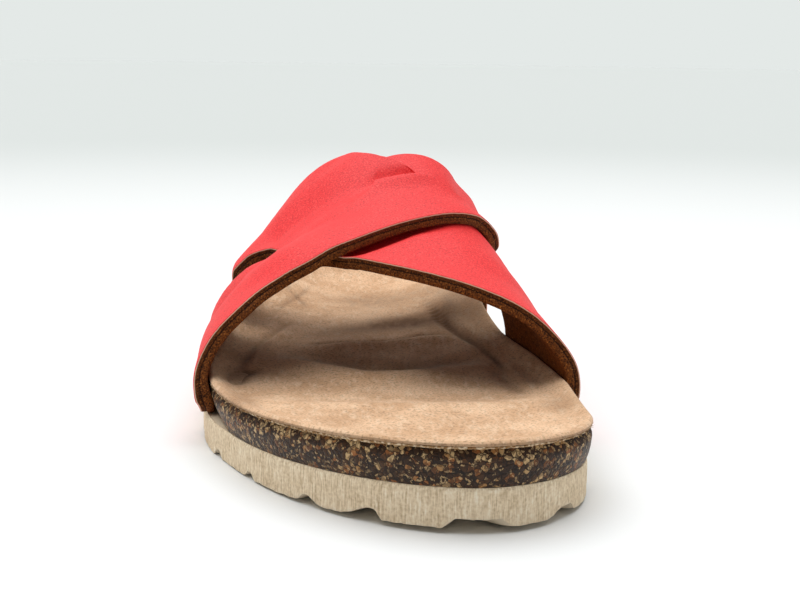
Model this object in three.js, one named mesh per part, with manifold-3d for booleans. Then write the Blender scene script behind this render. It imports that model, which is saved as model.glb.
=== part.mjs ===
// Slide sandal for the right foot: cork footbed, foam outsole and two crossing leather straps.
// Millimetres, +Z up, toe towards -Y, big-toe side towards +X, sole on z 0.
import * as THREE from 'three';
import { mergeVertices } from 'three/addons/utils/BufferGeometryUtils.js';
import Module from 'manifold-3d';

const wasm = await Module();
wasm.setup();

// Driving sizes
const FOOTBED_LENGTH = 246;
const STRAP_THICKNESS = 3.0;
const SEAT_GAP = 0.3;
const LINING_THICKNESS = 1.2;
const JUTE_THICKNESS = 0.7;
const JUTE_BAND_WIDTH = 5.0;
const OUTSOLE_TOP = 8.0;
const TOE_SPRING = 1.5;
const TOE_RISE = 2.7;
const TOE_SPRING_FROM = 62;
const HEEL_BEVEL = 1.4;
const HEEL_BEVEL_LENGTH = 12;
const LUG_PITCH = 22.2;
const LUG_NOTCH_SHARE = 0.30;
const LUG_NOTCH_DEPTH = 2.0;
const LUG_NOTCH_REACH = 15;
const LUG_NOTCH_FADE = 4;

// Shape of the two ends of the outline
const TOE_TIP_X = 14.5;
const HEEL_TIP_X = -2.0;
const MEDIAL_CAP = { length: 34.0, power: 1.94 };
const LATERAL_CAP = { length: 88.9, power: 1.82 };
const HEEL_CAP = { length: 36.0, power: 2.1 };

// Spine that the footbed rings shrink to, as distances from the toe
const SPINE_TOE = 40;
const SPINE_HEEL = 205;

// Mesh steps
const AROUND = 84;
const AROUND_OUTSOLE = 150;
const ACROSS_LEG = 4;
const ROWS_SLIT = 10;
const ROWS_BODY = 30;

// One row per station of the footbed, by distance from the toe tip
const FOOTBED_COLUMNS = ['fromToe', 'medialX', 'lateralX', 'medialRim', 'lateralRim', 'basin', 'medialBank',
  'lateralBank', 'ledge', 'draft'];
const FOOTBED_ROWS = [
  [0, 44.0, -48.0, 21.0, 21.0, 17.6, 5.0, 5.0, -1.0, 1.2],
  [22, 44.3, -48.3, 19.3, 19.3, 15.4, 5.0, 5.0, -1.0, 1.2],
  [40, 44.5, -48.5, 18.3, 18.3, 15.2, 5.0, 5.0, -1.0, 1.2],
  [54, 44.8, -48.5, 17.8, 17.8, 15.3, 5.0, 5.0, -0.6, 1.0],
  [66, 45.0, -48.5, 17.5, 17.5, 13.6, 4.6, 5.0, 0.6, 2.2],
  [92, 41.4, -48.5, 18.6, 17.8, 14.6, 4.0, 4.6, 1.4, 2.6],
  [120, 33.9, -46.5, 21.0, 19.0, 17.4, 3.0, 4.2, 1.6, 2.6],
  [150, 30.4, -43.0, 27.0, 23.0, 18.6, 2.4, 4.0, 1.6, 2.6],
  [180, 30.5, -39.5, 33.0, 30.0, 18.8, 2.6, 3.4, 1.4, 2.6],
  [210, 32.5, -37.0, 37.5, 36.5, 19.0, 3.0, 3.2, 0.6, 2.6],
  [246, 32.0, -35.5, 40.0, 40.0, 20.0, 3.0, 3.0, 0.4, 2.6],
];

// One row per section of the form under the straps, by distance from the toe tip
const FORM_COLUMNS = ['fromToe', 'crownX', 'crownZ', 'wallZ', 'lateralX', 'lateralZ', 'medialX', 'medialZ',
  'lateralDent', 'medialDent'];
const FORM_ROWS = [
  [55, -3.00, 39.0, 8.6, 2.70, 3.00, 2.05, 2.73, 0.0, 1.7],
  [70, -1.95, 40.8, 8.6, 2.38, 2.84, 2.21, 2.88, 0.6, 1.8],
  [85, -1.58, 43.8, 8.6, 2.12, 2.59, 2.59, 2.45, 0.5, 1.1],
  [100, -0.92, 48.6, 9.5, 1.66, 2.45, 2.57, 2.78, 0.2, 1.3],
  [115, -0.66, 53.2, 11.5, 1.10, 2.06, 2.73, 2.78, -0.3, 0.6],
  [130, -0.79, 58.1, 14.0, 1.05, 1.94, 2.53, 2.45, -0.5, 0.6],
  [145, -0.96, 65.8, 17.5, 1.39, 1.97, 2.42, 2.29, 1.7, 2.0],
  [170, -1.12, 74.4, 24.5, 1.38, 1.61, 2.29, 2.21, 5.3, 3.9],
];
const FORM_BASE = 8.6;
const FOOT_TUCK = 2.2;
const FOOT_TUCK_TOP = 18;
const LATERAL_SLACK = 1.2;
const MEDIAL_SLACK = 0.95;
const DENT_FROM = 1.0;

// Straps: share of the way over the foot, front edge, the two lips of the slit, rear edge
const STRAP_COLUMNS = ['share', 'front', 'frontLip', 'rearLip', 'rear'];
const OVER_ROWS = [
  [0.0, 68.7, 116.0, 138.0, 160.0],
  [0.07, 73.0, 119.5, 137.0, 160.0],
  [0.125, 75.0, 123.0, 136.0, 159.5],
  [0.16, 74.4, 125.5, 135.5, 159.0],
  [0.2, 74.3, 126.0, 135.2, 158.5],
  [0.228, 75.7, 122.6, 130.5, 158.0],
  [0.245, 77.3, 120.5, 120.5, 157.5],
  [0.29, 81.8, 121.0, 121.0, 156.0],
  [0.33, 84.7, 122.0, 122.0, 155.0],
  [0.375, 85.8, 122.5, 122.5, 153.5],
  [0.413, 88.2, 122.5, 122.5, 151.0],
  [0.45, 93.3, 123.0, 123.0, 144.8],
  [0.51, 100.9, 121.5, 121.5, 141.1],
  [0.545, 105.8, 121.5, 121.5, 138.1],
  [0.6, 111.1, 122.5, 122.5, 134.3],
  [0.65, 115.3, 123.0, 123.0, 131.5],
  [0.7, 119.7, 125.5, 125.5, 132.0],
  [0.75, 122.7, 128.5, 128.5, 135.0],
  [0.8, 127.0, 135.0, 135.0, 142.0],
  [0.86, 136.0, 144.0, 144.0, 150.5],
];
const OVER_APEX = 0.245;
const UNDER_ROWS = [
  [0.22, 105.0, 116.0, 116.0, 126.0],
  [0.25, 103.0, 116.5, 116.5, 126.5],
  [0.3, 99.5, 119.0, 119.0, 128.0],
  [0.345, 96.3, 121.0, 123.5, 132.5],
  [0.416, 90.9, 122.0, 128.5, 140.0],
  [0.48, 84.7, 126.0, 133.0, 147.0],
  [0.53, 79.5, 129.5, 135.0, 151.5],
  [0.58, 75.7, 131.5, 135.0, 154.0],
  [0.635, 72.6, 130.0, 133.5, 155.5],
  [0.69, 70.3, 128.5, 132.5, 157.5],
  [0.745, 69.3, 128.0, 133.0, 159.5],
  [0.8, 71.0, 125.0, 138.0, 162.0],
  [0.86, 73.2, 119.0, 146.0, 165.0],
  [0.93, 72.1, 113.5, 153.0, 168.5],
  [1.0, 69.1, 111.5, 156.0, 171.0],
];
const UNDER_APEX = 0.30;

// How one strap rides over the other: heights, lengths and the ranges over which they fade
const DRAPE_LENGTH = 16;
const WELD_DEPTH = 0.6;
const OVERLAP_SHARES = [0.14, 0.36];
const MOUTH_LIFT = 0.8;
const MOUTH_LENGTH = 14;
const MOUTH_SHARES = [0.55, 0.72];
const REAR_DROP = 0.75;
const REAR_DROP_START = -2;
const REAR_DROP_SHARES = [0.5, 0.56];
const DIVE_SHARES = [0.66, 0.76];
const DIVE_ALONG = [122, 133];
const RAISE_SHARES = [0.72, 0.86];
const RAISE_ALONG = [129, 142];
const FOOT_SHARES = [0.9, 1];
const FOOT_PRESS = 0.35;

// How far the lips of the upper strap's slit stand off
const REAR_LIP_LIFT = 2.8;
const REAR_LIP_LENGTH = 16;
const FRONT_LIP_LIFT = 2.2;
const FRONT_LIP_LENGTH = 12;
const LIP_RISE_SHARES = [0.05, 0.12];
const LIP_FALL_SHARES = [0.19, OVER_APEX];

// Rings of the footbed pieces: 0 on the spine and 1 on the rim, then shares of the band next to the rim
const BED_RINGS = [0, 0.4, 0.58, 0.7, 0.8];
const BAND_SHARES = [-0.2, 0, 0.5, 1];
const JUTE_SHARES = [0, 0.5, 1];
const CORK_UNDER_RINGS = [0, 0.5, 1];
const OUTSOLE_TOP_RINGS = [1, 0.7, 0.35, 0];
const OUTSOLE_LOWER_RINGS = [0, 0.3, 0.6, 0.72, 0.84, 1];

const COLOURS = {
  upper: { color: 0xe8595b, roughness: 0.62 },
  lining: { color: 0xd2ad90, roughness: 0.95 },
  jute: { color: 0xd8cbb2, roughness: 0.95 },
  cork: { color: 0x5a3d28, roughness: 0.6 },
  outsole: { color: 0xc9bca4, roughness: 0.85 },
};

// Smooth curve through a short table, with no overshoot between its rows
function smoothCurve(xs, ys) {
  const last = xs.length - 1;
  const step = xs.slice(1).map((x, i) => x - xs[i]);
  const slope = step.map((h, i) => (ys[i + 1] - ys[i]) / h);
  const tangent = xs.map((_, i) => {
    if (i === 0) return slope[0];
    if (i === last) return slope[last - 1];
    const [before, after] = [slope[i - 1], slope[i]];
    return before * after > 0 ? (2 * before * after) / (before + after) : 0;
  });
  return (value) => {
    const x = Math.min(Math.max(value, xs[0]), xs[last]);
    let k = 0;
    while (k < last - 1 && x >= xs[k + 1]) k += 1;
    const t = (x - xs[k]) / step[k];
    const t2 = t * t;
    const t3 = t2 * t;
    return (2 * t3 - 3 * t2 + 1) * ys[k] + (t3 - 2 * t2 + t) * step[k] * tangent[k]
      + (3 * t2 - 2 * t3) * ys[k + 1] + (t3 - t2) * step[k] * tangent[k + 1];
  };
}

// Table of named smooth columns
function curveTable(columns, rows) {
  const key = rows.map((row) => row[0]);
  const column = (i) => rows.map((row) => row[i + 1]);
  return Object.fromEntries(columns.slice(1).map((name, i) => [name, smoothCurve(key, column(i))]));
}

const bed = curveTable(FOOTBED_COLUMNS, FOOTBED_ROWS);
const form = curveTable(FORM_COLUMNS, FORM_ROWS);
const over = curveTable(STRAP_COLUMNS, OVER_ROWS);
const under = curveTable(STRAP_COLUMNS, UNDER_ROWS);

const clamp01 = (v) => Math.min(Math.max(v, 0), 1);
const blend = (a, b, t) => a + (b - a) * t;
function ease(low, high, value) {
  const t = clamp01((value - low) / (high - low));
  return t * t * (3 - 2 * t);
}

// Outline of the footbed
function endCap(distance, { length, power }) {
  const q = clamp01(1 - distance / length);
  return (1 - q ** power) ** (1 / power);
}

function sideX(fromToe, side) {
  const base = side > 0 ? bed.medialX(fromToe) : bed.lateralX(fromToe);
  const toe = endCap(fromToe, side > 0 ? MEDIAL_CAP : LATERAL_CAP);
  const heel = endCap(FOOTBED_LENGTH - fromToe, HEEL_CAP);
  const x = blend(TOE_TIP_X, base, toe);
  return blend(HEEL_TIP_X, x, heel);
}

const toY = (fromToe) => fromToe - FOOTBED_LENGTH / 2;

// Outline points from the toe along the big-toe side to the heel and back
function outline(count, grow) {
  const raw = Array.from({ length: count }, (_, i) => {
    const turn = (2 * Math.PI * i) / count;
    const fromToe = (FOOTBED_LENGTH / 2) * (1 - Math.cos(turn));
    const side = turn <= Math.PI ? 1 : -1;
    return { x: sideX(fromToe, side), y: toY(fromToe), fromToe, side };
  });
  return raw.map((p, i) => {
    const before = raw[(i + count - 1) % count];
    const after = raw[(i + 1) % count];
    const run = Math.hypot(after.x - before.x, after.y - before.y);
    const amount = typeof grow === 'function' ? grow(p.fromToe) : grow;
    return {
      ...p,
      x: p.x + (amount * (after.y - before.y)) / run,
      y: p.y - (amount * (after.x - before.x)) / run,
    };
  });
}

function spineOf(fromToe) {
  const along = blend(SPINE_TOE, SPINE_HEEL, fromToe / FOOTBED_LENGTH);
  return { x: (sideX(along, 1) + sideX(along, -1)) / 2, y: toY(along) };
}

// Upper face of the footbed lining: ring 0 on the spine, ring 1 on the rim
function bedHeight(edge, ring) {
  const spine = spineOf(edge.fromToe);
  const along = blend(spine.y, edge.y, ring) + FOOTBED_LENGTH / 2;
  const rim = edge.side > 0 ? bed.medialRim(edge.fromToe) : bed.lateralRim(edge.fromToe);
  const bank = edge.side > 0 ? bed.medialBank(along) : bed.lateralBank(along);
  return blend(bed.basin(along), rim, ring ** bank);
}

function outsoleTop(fromToe) {
  return OUTSOLE_TOP + TOE_RISE * ease(TOE_SPRING_FROM, -TOE_SPRING_FROM / 3, fromToe);
}

function outsoleFloor(fromToe) {
  const toe = TOE_SPRING * ease(TOE_SPRING_FROM, -TOE_SPRING_FROM / 3, fromToe);
  const heel = HEEL_BEVEL * ease(FOOTBED_LENGTH - HEEL_BEVEL_LENGTH, FOOTBED_LENGTH, fromToe);
  return toe + heel;
}

// Closed body from rings of points; each quad is cut along its shorter diagonal
function ringBody(rings) {
  const count = rings[0].length;
  const points = rings.flat();
  const gaps = (a, b) => ['x', 'y', 'z'].map((axis) => points[a][axis] - points[b][axis]);
  const span = (a, b) => Math.hypot(...gaps(a, b));
  const index = [];
  for (let r = 0; r + 1 < rings.length; r += 1) {
    for (let i = 0; i < count; i += 1) {
      const j = (i + 1) % count;
      const a = r * count + i;
      const b = r * count + j;
      const c = (r + 1) * count + j;
      const d = (r + 1) * count + i;
      if (span(a, c) <= span(b, d)) index.push(a, b, c, a, c, d);
      else index.push(a, b, d, b, c, d);
    }
  }
  return closedGeometry(points.flatMap((p) => [p.x, p.y, p.z]), index);
}

function closedGeometry(position, index) {
  const raw = new THREE.BufferGeometry();
  raw.setAttribute('position', new THREE.Float32BufferAttribute(position, 3));
  raw.setIndex(index);
  const merged = mergeVertices(raw, 1e-4);
  const source = merged.getIndex().array;
  const kept = [];
  for (let i = 0; i < source.length; i += 3) {
    const [a, b, c] = [source[i], source[i + 1], source[i + 2]];
    if (a !== b && b !== c && c !== a) kept.push(a, b, c);
  }
  merged.setIndex(kept);
  return merged;
}

function ringOf(edges, ring, height) {
  return edges.map((edge) => {
    const spine = spineOf(edge.fromToe);
    return {
      x: blend(spine.x, edge.x, ring),
      y: blend(spine.y, edge.y, ring),
      z: height(edge, ring),
    };
  });
}

// Foam outsole with notched lugs round its lower edge
function outsoleGeometry() {
  const edges = outline(AROUND_OUTSOLE, bed.ledge);
  let run = 0;
  const marks = edges.map((edge, i) => {
    const before = edges[(i + edges.length - 1) % edges.length];
    if (i > 0) run += Math.hypot(edge.x - before.x, edge.y - before.y);
    return run;
  });
  const around = run + Math.hypot(edges[0].x - edges.at(-1).x, edges[0].y - edges.at(-1).y);
  const pitch = around / Math.round(around / LUG_PITCH);
  const notch = edges.map((_, i) => {
    const phase = ((marks[i] / pitch + 0.5) % 1) - 0.5;
    return 1 - ease(LUG_NOTCH_SHARE / 2, LUG_NOTCH_SHARE / 2 + LUG_NOTCH_FADE / pitch, Math.abs(phase));
  });
  const lower = (ring) => edges.map((edge, i) => {
    const spine = spineOf(edge.fromToe);
    const x = blend(spine.x, edge.x, ring);
    const y = blend(spine.y, edge.y, ring);
    const inward = Math.hypot(edge.x - x, edge.y - y);
    const cut = LUG_NOTCH_DEPTH * notch[i] * (1 - ease(LUG_NOTCH_REACH * 0.6, LUG_NOTCH_REACH, inward));
    const fromToe = y + FOOTBED_LENGTH / 2;
    return { x, y, z: outsoleFloor(fromToe) + cut };
  });
  const top = (edge, ring) => {
    const spine = spineOf(edge.fromToe);
    return outsoleTop(blend(spine.y, edge.y, ring) + FOOTBED_LENGTH / 2);
  };
  const upperRings = OUTSOLE_TOP_RINGS.map((ring) => ringOf(edges, ring, top));
  return ringBody([...OUTSOLE_LOWER_RINGS.map(lower), ...upperRings]);
}

// Cork body: drafted side, flat underside on the outsole, hollowed top
function corkGeometry() {
  const rim = outline(AROUND, 0);
  const foot = outline(AROUND, (fromToe) => -bed.draft(fromToe));
  const under = (edge, ring) => {
    const spine = spineOf(edge.fromToe);
    return outsoleTop(blend(spine.y, edge.y, ring) + FOOTBED_LENGTH / 2) + SEAT_GAP;
  };
  const drop = LINING_THICKNESS + SEAT_GAP;
  const banded = drop + JUTE_THICKNESS + SEAT_GAP;
  const lowerRings = CORK_UNDER_RINGS.map((ring) => ringOf(foot, ring, under));
  const bandRings = BAND_SHARES.map((share) => bandRing(rim, share, banded));
  const bedRings = BED_RINGS.map((ring) => ringOf(rim, ring, (e, r) => bedHeight(e, r) - drop));
  return ringBody([...lowerRings, ...bandRings.reverse(), ...bedRings.reverse()]);
}

// Ring within the band next to the rim: share 0 on its inner edge, 1 on the rim
function bandRing(edges, share, drop) {
  return edges.map((edge) => {
    const spine = spineOf(edge.fromToe);
    const inner = 1 - JUTE_BAND_WIDTH / Math.hypot(edge.x - spine.x, edge.y - spine.y);
    const ring = blend(inner, 1, share);
    return {
      x: blend(spine.x, edge.x, ring),
      y: blend(spine.y, edge.y, ring),
      z: bedHeight(edge, ring) - drop,
    };
  });
}

// Woven jute band that shows as a pale line under the lining's edge
function juteGeometry() {
  const rim = outline(AROUND, 0);
  const high = LINING_THICKNESS + SEAT_GAP;
  const low = high + JUTE_THICKNESS;
  const lowRings = JUTE_SHARES.map((share) => bandRing(rim, share, low));
  const highRings = JUTE_SHARES.map((share) => bandRing(rim, share, high));
  const loop = [...lowRings, ...highRings.reverse()];
  return ringBody([...loop, loop[0]]);
}

// Suede lining that covers the footbed from rim to rim
function liningGeometry() {
  const rim = outline(AROUND, 0);
  const faceRings = (drop) => [
    ...BED_RINGS.map((ring) => ringOf(rim, ring, (e, r) => bedHeight(e, r) - drop)),
    ...BAND_SHARES.map((share) => bandRing(rim, share, drop)),
  ];
  return ringBody([...faceRings(LINING_THICKNESS), ...faceRings(0).reverse()]);
}

// Inner face of the straps: share 0 at the little-toe side, 0.5 over the crown, 1 at the big-toe side
function formPoint(share, fromToe) {
  const swing = Math.abs(2 * share - 1) * (Math.PI / 2);
  const medial = share > 0.5;
  const powerX = medial ? form.medialX(fromToe) : form.lateralX(fromToe);
  const powerZ = medial ? form.medialZ(fromToe) : form.lateralZ(fromToe);
  const base = medial
    ? sideX(fromToe, 1) + SEAT_GAP + MEDIAL_SLACK
    : sideX(fromToe, -1) - SEAT_GAP - LATERAL_SLACK;
  const crownX = form.crownX(fromToe);
  const crownZ = form.crownZ(fromToe);
  const wallZ = form.wallZ(fromToe);
  const z = blend(FORM_BASE, crownZ, Math.max(Math.cos(swing), 0) ** (2 / powerZ));
  const climb = clamp01((z - wallZ) / (crownZ - wallZ));
  const spread = (1 - climb ** powerZ) ** (1 / powerX);
  const tuck = FOOT_TUCK * (1 - ease(FORM_BASE, FOOT_TUCK_TOP, z)) + formDent(fromToe, z, medial);
  return new THREE.Vector3(blend(crownX, base, spread) + (medial ? -tuck : tuck), toY(fromToe), z);
}

// How far the side of the form is drawn in between the rim and the crown
function formDent(fromToe, z, medial) {
  const rim = medial ? bed.medialRim(fromToe) : bed.lateralRim(fromToe);
  const low = rim + DENT_FROM;
  const height = clamp01((z - low) / (form.crownZ(fromToe) - low));
  const depth = medial ? form.medialDent(fromToe) : form.lateralDent(fromToe);
  return depth * Math.sin(Math.PI * height) ** 2;
}

function formNormal(share, fromToe) {
  const stepShare = 0.004;
  const stepAlong = 0.5;
  const acrossA = formPoint(Math.max(share - stepShare, 0), fromToe);
  const acrossB = formPoint(Math.min(share + stepShare, 1), fromToe);
  const alongA = formPoint(share, fromToe - stepAlong);
  const alongB = formPoint(share, fromToe + stepAlong);
  return acrossB.sub(acrossA).cross(alongB.sub(alongA)).normalize();
}

// Height of each strap's inner face over the form
function overLift(share, fromToe) {
  const drape = ease(-DRAPE_LENGTH, 0, fromToe - under.front(share));
  const past = ease(REAR_DROP_START, DRAPE_LENGTH, fromToe - under.rear(share));
  const behind = 1 - REAR_DROP * past * (1 - ease(...REAR_DROP_SHARES, share));
  const dive = 1 - ease(...DIVE_SHARES, share) * ease(...DIVE_ALONG, fromToe);
  const overlap = ease(...OVERLAP_SHARES, share);
  const mouth = MOUTH_LIFT * ease(...MOUTH_SHARES, share)
    * (1 - ease(0, MOUTH_LENGTH, fromToe - over.front(share)));
  return ((STRAP_THICKNESS - WELD_DEPTH) * drape * behind * overlap + mouth) * dive + lipLift(share, fromToe);
}

function lipLift(share, fromToe) {
  const ahead = over.frontLip(share);
  const behind = over.rearLip(share);
  const bell = ease(...LIP_RISE_SHARES, share) * (1 - ease(...LIP_FALL_SHARES, share));
  const rear = REAR_LIP_LIFT * (1 - ease(0, REAR_LIP_LENGTH, fromToe - behind));
  const front = FRONT_LIP_LIFT * (1 - ease(0, FRONT_LIP_LENGTH, ahead - fromToe));
  return bell * (fromToe > (ahead + behind) / 2 ? rear : front);
}

function underLift(share, fromToe) {
  const raise = ease(...RAISE_SHARES, share) * ease(...RAISE_ALONG, fromToe);
  const foot = blend(1, FOOT_PRESS, ease(...FOOT_SHARES, share));
  return (STRAP_THICKNESS - WELD_DEPTH) * raise * foot;
}

// Strap with one slit: two legs where the lips are apart, one band where they meet
function strapGeometry(strap, lift, shares, isOpen) {
  const points = { outer: [], inner: [] };
  const slots = new Map();
  const place = (row, block, column) => {
    const joined = block === 1 && column === 0 && !isOpen(shares[row]);
    const key = joined ? `${row}/0/${ACROSS_LEG}` : `${row}/${block}/${column}`;
    if (slots.has(key)) return slots.get(key);
    const share = shares[row];
    const frontLip = strap.frontLip(share);
    const rearLip = isOpen(share) ? strap.rearLip(share) : frontLip;
    const along = block === 0
      ? blend(strap.front(share), frontLip, column / ACROSS_LEG)
      : blend(rearLip, strap.rear(share), column / ACROSS_LEG);
    const foot = formPoint(share, along);
    const normal = formNormal(share, along);
    const height = lift(share, along);
    points.inner.push(foot.clone().addScaledVector(normal, height));
    points.outer.push(foot.clone().addScaledVector(normal, height + STRAP_THICKNESS));
    slots.set(key, points.outer.length - 1);
    return points.outer.length - 1;
  };
  const faces = [];
  for (let row = 0; row + 1 < shares.length; row += 1) {
    for (let block = 0; block < 2; block += 1) {
      for (let column = 0; column < ACROSS_LEG; column += 1) {
        const a = place(row, block, column);
        const b = place(row + 1, block, column);
        const c = place(row + 1, block, column + 1);
        const d = place(row, block, column + 1);
        faces.push([a, b, c], [a, c, d]);
      }
    }
  }
  const count = points.outer.length;
  const index = [];
  const edges = new Set(faces.flatMap(([a, b, c]) => [`${a}/${b}`, `${b}/${c}`, `${c}/${a}`]));
  for (const [a, b, c] of faces) {
    index.push(a, b, c, count + a, count + c, count + b);
    for (const [from, to] of [[a, b], [b, c], [c, a]]) {
      if (!edges.has(`${to}/${from}`)) {
        index.push(from, count + from, count + to, from, count + to, to);
      }
    }
  }
  const position = [...points.outer, ...points.inner].flatMap((p) => [p.x, p.y, p.z]);
  return closedGeometry(position, index);
}

function shareRows(from, apex, to, slitFirst) {
  const first = slitFirst ? ROWS_SLIT : ROWS_BODY / 3;
  const lead = Array.from({ length: first }, (_, i) => blend(from, apex, i / first));
  const rest = Array.from({ length: ROWS_BODY + 1 }, (_, i) => blend(apex, to, i / ROWS_BODY));
  return [...lead, ...rest];
}

function toManifold(geometry) {
  const mesh = new wasm.Mesh({
    numProp: 3,
    vertProperties: new Float32Array(geometry.getAttribute('position').array),
    triVerts: new Uint32Array(geometry.getIndex().array),
  });
  return new wasm.Manifold(mesh);
}

function fromManifold(solid) {
  const mesh = solid.getMesh();
  const geometry = new THREE.BufferGeometry();
  geometry.setAttribute('position', new THREE.Float32BufferAttribute(mesh.vertProperties, 3));
  geometry.setIndex(Array.from(mesh.triVerts));
  return geometry;
}

// Both straps joined where they cross
function upperGeometry() {
  const overShares = shareRows(OVER_ROWS[0][0], OVER_APEX, OVER_ROWS.at(-1)[0], true);
  const underShares = shareRows(UNDER_ROWS[0][0], UNDER_APEX, UNDER_ROWS.at(-1)[0], false);
  const overStrap = strapGeometry(over, overLift, overShares, (share) => share < OVER_APEX - 1e-6);
  const underStrap = strapGeometry(under, underLift, underShares, (share) => share > UNDER_APEX + 1e-6);
  return fromManifold(toManifold(overStrap).add(toManifold(underStrap)));
}

function namedMesh(name, geometry, { color, roughness }) {
  geometry.computeVertexNormals();
  const mesh = new THREE.Mesh(geometry, new THREE.MeshStandardMaterial({ color, roughness, metalness: 0 }));
  mesh.name = name;
  return mesh;
}

const sandal = new THREE.Group();
sandal.name = 'slide_sandal';
sandal.add(namedMesh('outsole', outsoleGeometry(), COLOURS.outsole));
sandal.add(namedMesh('cork_footbed', corkGeometry(), COLOURS.cork));
sandal.add(namedMesh('jute_band', juteGeometry(), COLOURS.jute));
sandal.add(namedMesh('footbed_lining', liningGeometry(), COLOURS.lining));
sandal.add(namedMesh('upper', upperGeometry(), COLOURS.upper));

// Origin at the middle of the underside
const box = new THREE.Box3().setFromObject(sandal);
const middle = box.getCenter(new THREE.Vector3());
for (const mesh of sandal.children) mesh.geometry.translate(-middle.x, -middle.y, -box.min.z);

export default sandal;
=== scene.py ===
"""Dressed model of a slide sandal with two crossed straps on a cork footbed.

Sizes are in millimetres in the shoe's own frame: the toe points to -Y, the big-toe side to +X, and the
floor is at z = 0.
"""

import logging
import math
from abc import ABC, abstractmethod
from dataclasses import dataclass, field
from enum import Enum
from functools import cached_property
from typing import Any, Mapping, NamedTuple, Sequence

import bpy
import numpy as np
from mathutils import Matrix, Vector


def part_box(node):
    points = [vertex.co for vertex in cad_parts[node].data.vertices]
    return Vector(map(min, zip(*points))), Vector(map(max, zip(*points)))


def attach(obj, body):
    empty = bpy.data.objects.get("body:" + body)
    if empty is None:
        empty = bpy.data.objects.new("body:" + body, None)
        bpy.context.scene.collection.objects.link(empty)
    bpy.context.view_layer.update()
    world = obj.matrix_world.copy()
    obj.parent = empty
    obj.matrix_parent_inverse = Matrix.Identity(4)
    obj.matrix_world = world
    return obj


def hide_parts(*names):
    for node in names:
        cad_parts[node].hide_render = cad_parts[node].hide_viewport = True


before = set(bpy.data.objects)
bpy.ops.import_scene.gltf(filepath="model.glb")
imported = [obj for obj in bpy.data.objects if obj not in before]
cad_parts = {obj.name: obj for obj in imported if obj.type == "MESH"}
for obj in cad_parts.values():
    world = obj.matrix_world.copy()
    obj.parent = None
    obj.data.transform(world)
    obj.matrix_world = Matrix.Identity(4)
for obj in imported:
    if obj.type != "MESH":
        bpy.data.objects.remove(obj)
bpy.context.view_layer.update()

LOG = logging.getLogger("sandal")
MM = 0.001
BODY = "root"
TINY = 1e-9
NOISE_MIDDLE = 0.5
SCREEN_FULL = 255
SRGB_TOE = 0.04045
SRGB_SLOPE = 12.92
SRGB_OFFSET = 0.055
SRGB_POWER = 2.4

Span = tuple[float, float]
Place = tuple[float, float, float]
Series = tuple[float, ...]
Rows = tuple[Series, ...]


class Side(Enum):
    """Side of the shoe, as the sign of x."""

    BIG_TOE = 1
    LITTLE_TOE = -1


class EdgeLayer(Enum):
    """Finish of a strap's faces, as the slot in its mesh."""

    LEATHER = 0
    CUT = 1
    FELT = 2


def ease(low: float | np.ndarray, high: float | np.ndarray, value: np.ndarray) -> np.ndarray:
    """Smooth step of value from 0 at low to 1 at high."""
    t = np.clip((value - low) / (high - low), 0.0, 1.0)
    return t * t * (3.0 - 2.0 * t)


def blend(first: Any, second: Any, share: Any) -> Any:
    """Straight mix of two values."""
    return first + (second - first) * share


def unit(vectors: np.ndarray) -> np.ndarray:
    """Vectors of the last axis at length 1."""
    length = np.linalg.norm(vectors, axis=-1, keepdims=True)
    return vectors / np.maximum(length, TINY)


class SmoothCurve:
    """Smooth curve through a column of a table that doesn't overshoot its points."""

    def __init__(self, at: Sequence[float], value: Sequence[float]) -> None:
        """Works out the tangents.

        Args:
            at: rising places of the points.
            value: the values there.
        """
        self.at = np.asarray(at, float)
        self.value = np.asarray(value, float)
        self.step = np.diff(self.at)
        slope = np.diff(self.value) / self.step
        before, after = slope[:-1], slope[1:]
        same = before * after > 0
        inner = np.where(same, 2 * before * after / np.where(same, before + after, 1.0), 0.0)
        self.tangent = np.concatenate([slope[:1], inner, slope[-1:]])

    def __call__(self, where: Any) -> np.ndarray:
        """Value of the curve, held level past its ends.

        Args:
            where: one or more places.

        Returns:
            The values there.
        """
        x = np.clip(where, self.at[0], self.at[-1])
        k = np.clip(np.searchsorted(self.at, x, side="right") - 1, 0, len(self.step) - 1)
        t = (x - self.at[k]) / self.step[k]
        t2, t3 = t * t, t * t * t
        rise = (t3 - 2 * t2 + t) * self.tangent[k] + (t3 - t2) * self.tangent[k + 1]
        level = (2 * t3 - 3 * t2 + 1) * self.value[k] + (3 * t2 - 2 * t3) * self.value[k + 1]
        return level + rise * self.step[k]


def by_side(curves: Mapping[str, SmoothCurve], name: str, medial: np.ndarray,
            where: np.ndarray) -> np.ndarray:
    """Value from a table that has a column for either side of the shoe.

    Args:
        curves: curves of the table.
        name: name of the two columns after the side's.
        medial: whether the big-toe side is meant.
        where: places in the table.

    Returns:
        The values there.
    """
    return np.where(medial, curves["medial_" + name](where), curves["lateral_" + name](where))


def table(columns: Sequence[str], rows: Sequence[Sequence[float]]) -> dict[str, SmoothCurve]:
    """Smooth curves for a table's columns.

    Args:
        columns: names of the columns, the first being the place.
        rows: rows of numbers.

    Returns:
        A curve for each column after the first.
    """
    at = [row[0] for row in rows]
    return {name: SmoothCurve(at, [row[i] for row in rows]) for i, name in enumerate(columns) if i > 0}


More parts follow.
